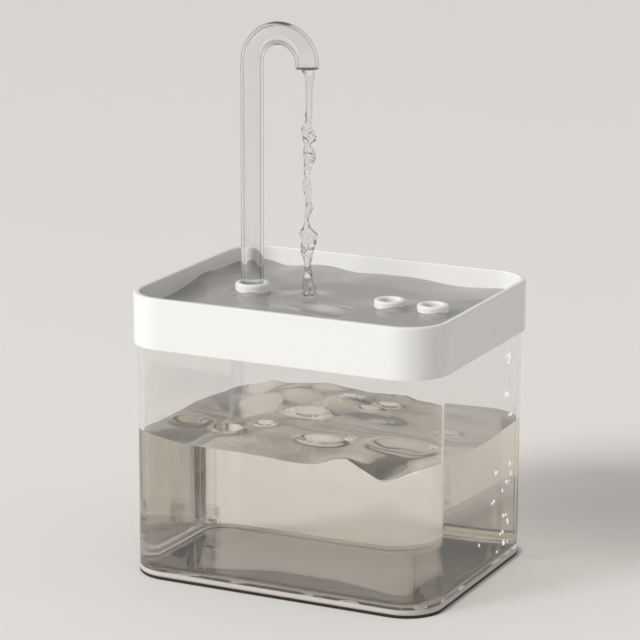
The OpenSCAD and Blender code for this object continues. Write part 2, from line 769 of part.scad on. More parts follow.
module motor_housing() {
    boss_h = pilot_depth + 1;
    color("whitesmoke") difference() {
        union() {
            translate([pump_x, pump_y, motor_z]) cylinder(r = motor_r, h = motor_h);
            at_pump(volute_ear_angles, volute_ear_pcr) translate([0, 0, motor_z]) cylinder(r = ear_r, h = boss_h);
            at_pump(volute_ear_angles, motor_r - 2) translate([0, -ear_r, motor_z])
                cube([volute_ear_pcr - motor_r + 2, 2 * ear_r, boss_h]);
            at_pump(mount_ear_angles, mount_ear_pcr) translate([0, 0, mount_ear_z])
                cylinder(r = ear_r, h = mount_ear_t);
            at_pump(mount_ear_angles, motor_r - 2) translate([0, -ear_r, mount_ear_z])
                cube([mount_ear_pcr - motor_r + 2, 2 * ear_r, mount_ear_t]);
            translate([lead_x, pump_y, gland_z]) rotate([-90, 0, 0])
                cylinder(r = gland_d / 2 + 1.3, h = gland_boss_len);
        }
        difference() {
            translate([pump_x, pump_y, motor_z + motor_wall]) cylinder(r = motor_in_r, h = motor_h);
            translate([pump_x, pump_y, motor_z]) cylinder(r = well_out_r, h = well_top_z + 1 - motor_z);
        }
        rotor_well();
        translate([lead_x, pump_y, gland_z]) rotate([-90, 0, 0])
            cylinder(r = gland_d / 2 + seat_gap, h = gland_boss_len + cut);
        at_pump(volute_ear_angles, volute_ear_pcr) translate([0, 0, motor_z - cut])
            cylinder(r = screw_r, h = pilot_depth + cut);
        at_pump(mount_ear_angles, mount_ear_pcr) translate([0, 0, mount_ear_z - cut])
            cylinder(r = screw_r + 0.15, h = mount_ear_t + 2 * cut);
    }
}

// Space that the rotor turns in, with the pocket of the shaft's upper bush at its top
module rotor_well() {
    translate([pump_x, pump_y, motor_z - cut]) {
        difference() {
            cylinder(r = well_r, h = well_top_z - motor_z + cut);
            translate([0, 0, well_top_z - motor_z + cut - bush_h]) cylinder(r = bush_boss_r, h = bush_h + cut);
        }
        translate([0, 0, well_top_z - motor_z + cut - bush_h]) cylinder(r = bush_r + seat_gap, h = bush_h);
    }
}

module motor_cap() {
    color("whitesmoke") translate([pump_x, pump_y, motor_top_z]) {
        cylinder(r = motor_r, h = cap_t);
        translate([0, 0, -1.4]) tube(motor_in_r - seat_gap, motor_in_r - 1.5, 1.4 + eps);
    }
}

module stator_core() {
    color("slategray") translate([pump_x, pump_y, stack_z]) {
        tube(yoke_r, yoke_r - yoke_t, stack_h);
        for (i = [0:tooth_count - 1]) rotate(360 / tooth_count * i) linear_extrude(height = stack_h)
            intersection() {
                difference() {
                    circle(yoke_r - yoke_t + 0.2);
                    circle(tooth_tip_r);
                }
                union() {
                    translate([0, -tooth_w / 2]) square([yoke_r, tooth_w]);
                    translate([0, -tooth_w * 0.85]) square([coil_in_r - 0.2, tooth_w * 1.7]);
                }
            }
    }
}

module stator_coils() {
    color("peru") translate([pump_x, pump_y, stack_z - coil_t]) for (i = [0:tooth_count - 1])
        rotate(360 / tooth_count * i) difference() {
            translate([coil_in_r, -tooth_w / 2 - coil_t, 0])
                cube([coil_out_r - coil_in_r, tooth_w + 2 * coil_t, stack_h + 2 * coil_t]);
            translate([coil_in_r - cut, -tooth_w / 2 - seat_gap, coil_t - seat_gap])
                cube([coil_out_r, tooth_w + 2 * seat_gap, stack_h + 2 * seat_gap]);
        }
}

module driver_board() {
    color("seagreen") translate([pump_x, pump_y, board_z]) {
        tube(motor_in_r - 0.3, well_out_r + 0.3, board_t);
        for (a = [200, 235, 300]) rotate(a) translate([well_out_r + 1.5, -1.6, board_t - eps])
            cube([3.4, 3.2, 1.1]);
    }
}

module cable_gland() {
    color("black") translate([lead_x, pump_y + gland_start, gland_z]) rotate([-90, 0, 0])
        difference() {
            union() {
                cylinder(r = gland_d / 2, h = gland_len);
                translate([0, 0, gland_boss_len - gland_start + seat_gap]) cylinder(r1 = gland_d / 2 + 1.2, r2 = gland_d / 2, h = 3.5);
            }
            translate([0, 0, -cut]) cylinder(r = lead_d / 2, h = gland_len + 4);
        }
}

module mount_screws() {
    color("silver") at_pump(mount_ear_angles, mount_ear_pcr)
        translate([0, 0, mount_ear_z]) screw(mount_ear_t + pilot_depth - 0.5);
}

module rotor_magnet() {
    color("dimgray") translate([pump_x, pump_y, magnet_z])
        tube(magnet_r, shaft_r + running_gap + 1.4 + seat_gap, magnet_top_z - magnet_z);
}

// Closed disc with curved vanes under it, and the sleeve that carries the magnet
module impeller() {
    disc_t = 1;
    disc_z = magnet_z - disc_t;
    sleeve_r = shaft_r + running_gap + 1.4;
    color("ghostwhite") translate([pump_x, pump_y, 0]) difference() {
        union() {
            translate([0, 0, disc_z]) cylinder(r = impeller_r, h = disc_t);
            translate([0, 0, disc_z]) cylinder(r = sleeve_r, h = magnet_top_z - disc_z);
            translate([0, 0, disc_z - vane_h]) cylinder(r = sleeve_r + 0.6, h = vane_h + eps);
            for (i = [0:vane_count - 1]) rotate(360 / vane_count * i)
                translate([0, 0, disc_z - vane_h]) linear_extrude(height = vane_h + eps) vane();
        }
        translate([0, 0, disc_z - vane_h - cut])
            cylinder(r = shaft_r + running_gap, h = magnet_top_z - disc_z + vane_h + 2 * cut);
    }
}

// One vane: an arc from the hub that leans back as it runs out to the rim
module vane() {
    arc_r = impeller_r * 0.75;
    intersection() {
        circle(impeller_r - 0.2);
        difference() {
            translate([0, -arc_r]) square([impeller_r, 2 * arc_r]);
            translate([arc_r * 0.25, -arc_r]) circle(arc_r - vane_t / 2);
            circle(shaft_r + 1.6);
        }
        translate([arc_r * 0.25, -arc_r]) circle(arc_r + vane_t / 2);
    }
}

module rotor_shaft() {
    color("ivory") translate([pump_x, pump_y, volute_z + 0.2])
        cylinder(r = shaft_r, h = well_top_z - 0.2 - volute_z - 0.2);
}

module shaft_bushes() {
    color("dimgray") translate([pump_x, pump_y, 0]) {
        translate([0, 0, well_top_z - bush_h]) tube(bush_r, shaft_r + seat_gap, bush_h);
        translate([0, 0, volute_z]) tube(lower_bush_r, shaft_r + seat_gap, volute_floor_t);
    }
}

// ---- Intake ----

module drop_tube() {
    color("aliceblue", 0.4) translate([intake_x, pump_y, drop_bottom_z])
        tube(drop_r, drop_bore_r, drop_top_z - drop_bottom_z);
}

module foot_strainer() {
    color("aliceblue", 0.6) translate([intake_x, pump_y, 0]) difference() {
        union() {
            translate([0, 0, strainer_z]) cylinder(r = strainer_r, h = strainer_cup_h + seat_t);
            translate([0, 0, valve_seat_z - eps])
                cylinder(r = drop_r + seat_gap + 1.4, h = strainer_top_z - valve_seat_z);
        }
        translate([0, 0, strainer_z + strainer_wall])
            cylinder(r = strainer_r - strainer_wall, h = strainer_cup_h - strainer_wall);
        translate([0, 0, strainer_z]) cylinder(r = drop_bore_r - 0.9, h = strainer_cup_h + seat_t + cut);
        translate([0, 0, valve_seat_z]) cylinder(r = valve_chamber_r, h = drop_bottom_z - valve_seat_z + eps);
        translate([0, 0, drop_bottom_z]) cylinder(r = drop_r + seat_gap, h = strainer_top_z);
        for (i = [0:strainer_slots - 1]) rotate(360 / strainer_slots * i)
            translate([strainer_r - strainer_wall - 1, -0.6, strainer_z + 0.8])
                cube([4, 1.2, strainer_cup_h - 1.4]);
    }
}

module valve_disc() {
    color("gainsboro") translate([intake_x, pump_y, valve_seat_z + seat_gap]) {
        cylinder(r = valve_r, h = valve_t);
        for (a = [0, 120, 240]) rotate(a) translate([drop_bore_r - 1.6, -0.5, valve_t - eps])
            cube([valve_r - drop_bore_r + 1.2, 1, valve_fin_h]);
    }
}

// ---- Drains ----

module at_drains() {
    for (side = [-1, 1]) translate([drain_x + side * drain_pitch / 2, 0, 0]) children();
}

module drain_ring() {
    difference() {
        rotate_extrude() difference() {
            union() {
                translate([0, tray_floor_z + drop_gap]) square([drain_od / 2, drain_h - drop_gap - drain_edge_r]);
                translate([0, tray_floor_z + drop_gap]) square([drain_od / 2 - drain_edge_r, drain_h - drop_gap]);
                translate([drain_od / 2 - drain_edge_r, tray_floor_z + drain_h - drain_edge_r])
                    circle(drain_edge_r);
                translate([0, drain_stem_z]) square([drain_stem_r, tray_floor_z + 1 - drain_stem_z]);
            }
            translate([drain_groove_r, drain_groove_z]) square([drain_ring_d + cut, drain_groove_h]);
        }
        translate([0, 0, drain_stem_z - cut]) cylinder(r = drain_bore_r, h = basin_depth + drain_h);
        translate([0, 0, tray_floor_z + drain_h - 0.9]) cylinder(r1 = drain_bore_r, r2 = drain_bore_r + 1.1, h = 1.1);
        for (i = [0:slot_count - 1]) rotate(360 / slot_count * (i + 0.5))
            translate([drain_bore_r - 1, -slot_w / 2, tray_floor_z + slot_sill]) cube([drain_od, slot_w, slot_h]);
    }
}

module drain_o_ring() {
    translate([0, 0, drain_groove_z + drain_groove_h / 2])
        o_ring(drain_groove_r + drain_ring_d / 2, drain_ring_d - 0.06);
}

module drain_ring_left() {
    color("white") translate([drain_x - drain_pitch / 2, 0, 0]) drain_ring();
}

module drain_ring_right() {
    color("white") translate([drain_x + drain_pitch / 2, 0, 0]) drain_ring();
}

module drain_o_ring_left() {
    color("dimgray") translate([drain_x - drain_pitch / 2, 0, 0]) drain_o_ring();
}

module drain_o_ring_right() {
    color("dimgray") translate([drain_x + drain_pitch / 2, 0, 0]) drain_o_ring();
}

// ---- Filter ----

module filter_box() {
    in_l = filter_l - 2 * filter_wall;
    in_w = filter_w - 2 * filter_wall;
    in_r = filter_r - filter_wall;
    slots = floor((in_l - 8) / grate_pitch / 2);
    color("white") translate([drain_x, 0, filter_z]) difference() {
        union() {
            slab(filter_l, filter_w, filter_r, filter_h);
            translate([-tab_l / 2, -filter_w / 2 - tab_reach, 0]) cube([tab_l, filter_w + 2 * tab_reach, filter_wall]);
        }
        translate([0, 0, filter_wall]) slab(in_l, in_w, in_r, filter_h);
        for (i = [-slots:slots], side = [-1, 1])
            translate([i * grate_pitch - grate_slot / 2, side * in_w / 4 - in_w / 5, -cut])
                cube([grate_slot, in_w * 0.4, filter_wall + 2 * cut]);
    }
}

module filter_lid() {
    color("white") translate([drain_x, 0, lid_z]) difference() {
        slab(filter_l - 2 * filter_wall - 0.2, filter_w - 2 * filter_wall - 0.2, filter_r - filter_wall - 0.1, lid_t);
        for (side = [-1, 1]) translate([side * drain_pitch / 2, 0, -cut]) inlet_grille();
    }
}

// Inlet under a drain, a round hole crossed by two bars
module inlet_grille() {
    difference() {
        cylinder(r = inlet_r, h = lid_t + 2 * cut);
        for (a = [45, 135]) rotate(a) translate([-inlet_r - cut, -0.6, 0])
            cube([2 * inlet_r + 2 * cut, 1.2, lid_t + 2 * cut]);
    }
}

module filter_pad(z, h) {
    fit = filter_wall + drop_gap;
    translate([drain_x, 0, z]) slab(filter_l - 2 * fit, filter_w - 2 * fit, filter_r - fit, h);
}

module filter_sponge() {
    color("lightsteelblue") filter_pad(filter_z + filter_wall, sponge_h);
}

module filter_carbon() {
    color("dimgray") filter_pad(filter_z + filter_wall + sponge_h + drop_gap, carbon_h);
}

module filter_cotton() {
    color("white") filter_pad(cotton_z, lid_z - drop_gap - cotton_z);
}

tank();
foot_ring();
tray();
tray_gasket();
spout_tube();
spout_collar();
collar_clip();
collar_washer();
spout_socket();
socket_o_rings();
socket_screws();
outlet_hose();
pump_volute();
volute_o_ring();
intake_plate();
volute_screws();
motor_housing();
motor_cap();
stator_core();
stator_coils();
driver_board();
cable_gland();
mount_screws();
rotor_magnet();
impeller();
rotor_shaft();
shaft_bushes();
drop_tube();
foot_strainer();
valve_disc();
drain_ring_left();
drain_ring_right();
drain_o_ring_left();
drain_o_ring_right();
filter_box();
filter_lid();
filter_cotton();
filter_carbon();
filter_sponge();
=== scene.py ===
"""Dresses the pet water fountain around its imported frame: finishes, water, stage, lamps and camera."""
import json
import logging
import math
from dataclasses import dataclass, field
from enum import Enum
from typing import Dict, List, Mapping, Optional, Sequence, Tuple, Union

import bmesh
import bpy
import numpy as np
from mathutils import Matrix, Vector, noise


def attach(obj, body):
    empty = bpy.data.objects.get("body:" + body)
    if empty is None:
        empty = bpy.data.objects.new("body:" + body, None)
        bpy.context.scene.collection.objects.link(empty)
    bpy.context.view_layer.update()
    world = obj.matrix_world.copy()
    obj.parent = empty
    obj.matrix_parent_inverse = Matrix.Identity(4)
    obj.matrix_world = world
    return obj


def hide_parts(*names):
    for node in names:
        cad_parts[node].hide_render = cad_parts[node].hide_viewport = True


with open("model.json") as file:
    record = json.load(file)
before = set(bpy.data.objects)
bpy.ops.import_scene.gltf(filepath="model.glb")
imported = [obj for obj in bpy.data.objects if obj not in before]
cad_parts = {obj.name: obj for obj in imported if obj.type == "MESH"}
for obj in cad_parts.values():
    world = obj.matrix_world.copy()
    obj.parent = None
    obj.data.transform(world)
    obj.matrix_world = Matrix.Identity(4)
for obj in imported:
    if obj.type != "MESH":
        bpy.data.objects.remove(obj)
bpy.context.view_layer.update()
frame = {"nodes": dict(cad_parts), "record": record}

MM: float = 0.001
Colour = Tuple[float, float, float]
Point = Tuple[float, float, float]
Face = Tuple[int, ...]
Operand = Union["Sock", float]
log = logging.getLogger("fountain")

# The angles in degrees from which an edge stays sharp
CAD_CREASE: float = 40.0
WATER_CREASE: float = 50.0
ROUND_CREASE: float = 60.0

# How strongly each clear material bends light
ACRYLIC: float = 1.49
TUBE_ACRYLIC: float = 1.47
SILICONE: float = 1.41
WATER: float = 1.333

# Sockets that share a name with others on their node, so they are picked by number
MIX_FIRST: int = 6
MIX_SECOND: int = 7
MIX_COLOUR: int = 2
RANDOM_MOST_VECTOR: int = 1
RANDOM_LEAST: int = 2
RANDOM_MOST: int = 3
RANDOM_NUMBER: int = 1
TRIM_START: int = 4
TRIM_END: int = 5


# ---------------------------------------------------------------- node graphs

class Sock:
    """A node's output that can be used in sums. Each operator adds the Math node that it stands for."""

    def __init__(self, graph: "Graph", socket: Optional[bpy.types.NodeSocket]) -> None:
        """Wraps one output socket of a graph."""
        self.graph = graph
        self.socket = socket

    def _math(self, operation: str, *values: Operand, clamp: bool = False) -> "Sock":
        """Adds one Math node.

        Args:
            operation: the Math node's operation.
            values: what goes into its sockets, in order.
            clamp: whether the result stays between 0 and 1.

        Returns:
            The node's result.
        """
        return self.graph.add("ShaderNodeMath", {"operation": operation, "use_clamp": clamp},
                              dict(enumerate(values)))

    def __add__(self, other: Operand) -> "Sock":
        """Sum."""
        return self._math("ADD", self, other)

    def __radd__(self, other: float) -> "Sock":
        """Sum, from the right."""
        return self._math("ADD", other, self)

    def __sub__(self, other: Operand) -> "Sock":
        """Difference."""
        return self._math("SUBTRACT", self, other)

    def __rsub__(self, other: float) -> "Sock":
        """Difference, from the right."""
        return self._math("SUBTRACT", other, self)

    def __mul__(self, other: Operand) -> "Sock":
        """Product."""
        return self._math("MULTIPLY", self, other)

    def __rmul__(self, other: float) -> "Sock":
        """Product, from the right."""
        return self._math("MULTIPLY", other, self)

    def __truediv__(self, other: Operand) -> "Sock":
        """Quotient."""
        return self._math("DIVIDE", self, other)

    def __rtruediv__(self, other: float) -> "Sock":
        """Quotient, from the right."""
        return self._math("DIVIDE", other, self)

    def __pow__(self, other: Operand) -> "Sock":
        """Power."""
        return self._math("POWER", self, other)

    def __rpow__(self, other: float) -> "Sock":
        """Power, from the right."""
        return self._math("POWER", other, self)

    def __neg__(self) -> "Sock":
        """Negative."""
        return self._math("MULTIPLY", self, -1.0)

    def either(self, other: "Sock") -> "Sock":
        """The larger of the two."""
        return self._math("MAXIMUM", self, other)

    def above(self, limit: float) -> "Sock":
        """1 where the value is over a limit, else 0."""
        return self._math("GREATER_THAN", self, limit)

    def wave(self) -> "Sock":
        """A sine wave of the value in radians, from 0 to 1."""
        return self._math("SINE", self) * 0.5 + 0.5

    def clamped(self) -> "Sock":
        """The value held between 0 and 1."""
        return self._math("ADD", self, 0.0, clamp=True)


Value = Union[Sock, float, int, bool, str, Sequence[float]]


class Graph:
    """A node tree of any kind, with one method that adds any node."""

    def __init__(self, tree: bpy.types.NodeTree) -> None:
        """Wraps a node tree."""
        self.tree = tree

    def add(self, kind: str, settings: Optional[Mapping[str, object]] = None,
            inputs: Optional[Mapping[Union[str, int], Value]] = None, output: Union[str, int] = 0) -> Sock:
        """Adds a node, sets it and fills its sockets.

        Args:
            kind: the node's type.
            settings: the node's own settings; "stops" holds a colour ramp's stops.
            inputs: values or links, by the input's name or number.
            output: the output to hand back.

        Returns:
            The chosen output.
        """
        node = self.tree.nodes.new(kind)
        for name, value in (settings or {}).items():
            if name == "stops":
                self._ramp(node, value)
            else:
                setattr(node, name, value)
        for key, value in (inputs or {}).items():
            if isinstance(value, Sock):
                self.tree.links.new(value.socket, node.inputs[key])
            else:
                node.inputs[key].default_value = value
        return Sock(self, node.outputs[output] if node.outputs else None)

    @staticmethod
    def _ramp(node: bpy.types.Node, stops: Sequence[Tuple[float, Colour]]) -> None:
        """Sets a colour ramp's stops.

        Args:
            node: the ramp's node.
            stops: the place and colour of each stop.
        """
        ramp = node.color_ramp
        while len(ramp.elements) < len(stops):
            ramp.elements.new(1.0)
        for element, (place, colour) in zip(ramp.elements, stops):
            element.position = place
            element.color = (*colour, 1.0)

    def mix(self, factor: Operand, first: Union[Sock, Colour], second: Union[Sock, Colour]) -> Sock:
        """Mixes two colours.

        Args:
            factor: the second colour's share.
            first: the colour at factor 0.
            second: the colour at factor 1.

        Returns:
            The mixed colour.
        """
        ends = [colour if isinstance(colour, Sock) else (*colour, 1.0) for colour in (first, second)]
        return self.add("ShaderNodeMix", {"data_type": "RGBA"}, {
            0: factor, MIX_FIRST: ends[0], MIX_SECOND: ends[1]}, MIX_COLOUR)

    def place(self) -> Sock:
        """The point in the object's own coordinates, which are the frame's."""
        return self.add("ShaderNodeTexCoord", output="Object")

    def axis(self, name: str) -> Sock:
        """One coordinate of the point: X, Y or Z."""
        return self.part(self.place(), name)

    def part(self, vector: Sock, name: str) -> Sock:
        """One coordinate of a vector: X, Y or Z."""
        return self.add("ShaderNodeSeparateXYZ", inputs={0: vector}, output=name)

    def facing(self) -> Sock:
        """How the surface is turned: 0 where it faces the eye, 1 where it is seen edge-on."""
        return self.add("ShaderNodeLayerWeight", output="Facing")

    def noise(self, size: float, detail: float = 2.0, stretch: Sequence[float] = (1, 1, 1)) -> Sock:
        """Soft noise.

        Args:
            size: the size of its blotches, in metres.
            detail: how many finer layers it has.
            stretch: how much it is drawn out along each axis.

        Returns:
            A value about 0.5.
        """
        scaled = self.add("ShaderNodeMapping", inputs={
            "Vector": self.place(), "Scale": tuple(1.0 / s for s in stretch)})
        return self.add("ShaderNodeTexNoise", inputs={
            "Vector": scaled, "Scale": 1.0 / size, "Detail": detail})

    def cells(self, size: float, feature: str = "F1") -> Sock:
        """Distance in a pattern of cells of a given size, in metres."""
        return self.add("ShaderNodeTexVoronoi", {"feature": feature},
                        {"Vector": self.place(), "Scale": 1.0 / size}, "Distance")

    def bump(self, height: Sock, depth: float) -> Sock:
        """The normal of a surface whose relief, from 0 to 1, has a depth in metres."""
        return self.add("ShaderNodeBump", inputs={"Height": height, "Distance": depth})

    def surface(self, shader: Sock) -> None:
        """Makes a shader the material's surface."""
        self.add("ShaderNodeOutputMaterial", inputs={"Surface": shader})


def new_material(name: str) -> Tuple[bpy.types.Material, Graph]:
    """Makes an empty material.

    Args:
        name: the material's name.

    Returns:
        The material and its graph.
    """
    material = bpy.data.materials.new(name)
    material.use_nodes = True
    material.node_tree.nodes.clear()
    return material, Graph(material.node_tree)


# ---------------------------------------------------------------- finishes

class Relief(Enum):
    """How an opaque finish is worked."""

    MOULDED = "moulded"
    BRUSHED = "brushed"
    LAMINATED = "laminated"
    WOUND = "wound"
    BOARD = "board"
    GRAINY = "grainy"
    FIBROUS = "fibrous"
    POROUS = "porous"


class Finish:
    """A look that can be made into a material."""

    name: str

    def shader(self, graph: Graph) -> Sock:
        """Adds the finish's nodes and returns its shader."""
        raise NotImplementedError

    def make(self) -> bpy.types.Material:
        """Builds the material.

        Returns:
            The material.
        """
        material, graph = new_material(self.name)
        graph.surface(self.shader(graph))
        return material


@dataclass(frozen=True)
class Opaque(Finish):
    """A solid finish whose colour, gloss and relief vary over the surface. Sizes are in metres."""

    name: str
    colour: Colour
    shade: Colour
    rough: float
    relief: Relief = Relief.MOULDED
    grain: float = 0.0008
    depth: float = 0.00003
    metallic: float = 0.0
    coat: float = 0.0
    coat_rough: float = 0.12
    sheen: float = 0.0
    pale_tone: Optional[Colour] = None
    # Emission strength: a glow that paints highlights on a piece that is no lamp.
    glow: float = 0.0
    blotch: float = 0.018
    relief_tint: float = 0.55
    blotch_gloss: float = 0.16
    relief_gloss: float = 0.22

    def pattern(self, graph: Graph) -> Sock:
        """Works out the relief's height.

        Args:
            graph: the material's graph.

        Returns:
            A height from 0 to 1.
        """
        turns = math.tau / self.grain
        if self.relief is Relief.BRUSHED:
            return graph.noise(self.grain, detail=4.0, stretch=(1, 1, 14))
        if self.relief is Relief.LAMINATED:
            return (graph.axis("Z") * turns).wave()
        if self.relief is Relief.WOUND:
            lean, wobble, wobble_size = 0.4, 3.0, 0.004
            along = graph.axis("Z") + graph.axis("X") * lean
            return (along * turns + graph.noise(wobble_size) * wobble).wave()
        if self.relief is Relief.BOARD:
            narrow = 9.0
            return 1.0 - (graph.cells(self.grain, "DISTANCE_TO_EDGE") * narrow).clamped()
        if self.relief is Relief.GRAINY:
            return graph.cells(self.grain)
        if self.relief is Relief.POROUS:
            steep = 1.4
            return 1.0 - graph.cells(self.grain) * steep
        if self.relief is Relief.FIBROUS:
            across = graph.noise(self.grain, detail=5.0, stretch=(9, 1, 1))
            along = graph.noise(self.grain, detail=5.0, stretch=(1, 9, 1))
            return (across + along) * 0.5
        return graph.noise(self.grain, detail=5.0)

    def paled(self, graph: Graph, tint: Sock) -> Sock:
        """Gives the pale tone to the faces that look up or in towards the middle.

        Args:
            graph: the material's graph.
            tint: the colour of the other faces.

        Returns:
            The colour of all the faces.
        """
        level, inwards = 0.9, 0.02
        normal = graph.add("ShaderNodeTexCoord", output="Normal")
        flat = graph.add("ShaderNodeCombineXYZ", inputs={0: graph.axis("X"), 1: graph.axis("Y")})
        outward = graph.add("ShaderNodeVectorMath", {"operation": "DOT_PRODUCT"}, {
            0: normal, 1: flat}, "Value")
        paled = graph.part(normal, "Z").above(level).either((-outward).above(inwards))
        return graph.mix(paled, tint, self.pale_tone)

    def shader(self, graph: Graph) -> Sock:
        """Adds the finish's nodes.

        Args:
            graph: the material's graph.

        Returns:
            The shader.
        """
        height = self.pattern(graph)
        blotch = graph.noise(self.blotch, detail=3.0)
        share = (height * self.relief_tint + blotch * (1.0 - self.relief_tint)).clamped()
        swing = (blotch - 0.5) * self.blotch_gloss + (height - 0.5) * self.relief_gloss
        tint = graph.mix(share, self.shade, self.colour)
        if self.pale_tone is not None:
            tint = self.paled(graph, tint)
        return graph.add("ShaderNodeBsdfPrincipled", inputs={
            "Base Color": tint, "Roughness": (swing * self.rough + self.rough).clamped(),
            "Metallic": self.metallic, "Coat Weight": self.coat, "Coat Roughness": self.coat_rough,
            # The emission paints glints: the finish glows in its own colour.
            "Sheen Weight": self.sheen, "Emission Color": tint, "Emission Strength": self.glow,
            "Normal": graph.bump(height, self.depth)})


@dataclass(frozen=True)
class Fade:
    """A tint that runs from one colour, seen face-on, to a darker one, seen edge-on: painted shade on the
    edges.
    """

    face: Colour
    edge: Colour
    power: float = 3.0

    def colour(self, graph: Graph) -> Sock:
        """The tint, as nodes."""
        return graph.mix((graph.facing() ** self.power).clamped(), self.face, self.edge)


@dataclass(frozen=True)
class Bands:
    """A tint in soft bands, from face-on at 0 to edge-on at 1, as a round clear piece shows: painted
    outlines, highlight bands and edge shade.
    """

    stops: Tuple[Tuple[float, Colour], ...]

    def colour(self, graph: Graph) -> Sock:
        """The tint, as nodes."""
        return graph.add("ShaderNodeValToRGB", {"stops": self.stops}, {0: graph.facing()})


@dataclass(frozen=True)
class Clear(Finish):
    """A clear finish that bends light. Rays of the kinds named in straight go through it unbent."""

    name: str
    tint: Union[Fade, Bands]
    ior: float
    rough: float = 0.0
    shadow: Colour = (0.93, 0.93, 0.92)
    body: float = 0.0
    straight: Tuple[str, ...] = ("Is Diffuse Ray", "Is Shadow Ray")

    def shader(self, graph: Graph) -> Sock:
        """Adds the finish's nodes.

        Args:
            graph: the material's graph.

        Returns:
            The shader.
        """
        # The tint follows the angle the surface is seen at: painted edge shade, and with bands painted
        # outlines and highlights.
        shader = graph.add("ShaderNodeBsdfPrincipled", inputs={
            "Base Color": self.tint.colour(graph), "Roughness": self.rough, "IOR": self.ior,
            "Transmission Weight": 1.0 - self.body})
        through = graph.add("ShaderNodeBsdfTransparent", inputs={"Color": (*self.shadow, 1.0)})
        for kind in self.straight:
            ray = graph.add("ShaderNodeLightPath", output=kind)
            shader = graph.add("ShaderNodeMixShader", inputs={0: ray, 1: shader, 2: through})
        return shader


@dataclass(frozen=True)
class Sheer(Finish):
    """A clear finish for pieces that stand in water, where their walls hardly bend the light."""

    name: str
    colour: Colour
    shade: Colour
    least: float
    most: float
    rough: float = 0.08
    blotch: float = 0.006

    def shader(self, graph: Graph) -> Sock:
        """Adds the finish's nodes.

        Args:
            graph: the material's graph.

        Returns:
            The shader.
        """
        cover = graph.facing() ** 2.0 * (self.most - self.least) + self.least
        return graph.add("ShaderNodeBsdfPrincipled", inputs={
            "Base Color": graph.mix(graph.noise(self.blotch), self.shade, self.colour),
            "Roughness": self.rough, "Alpha": cover.clamped()})


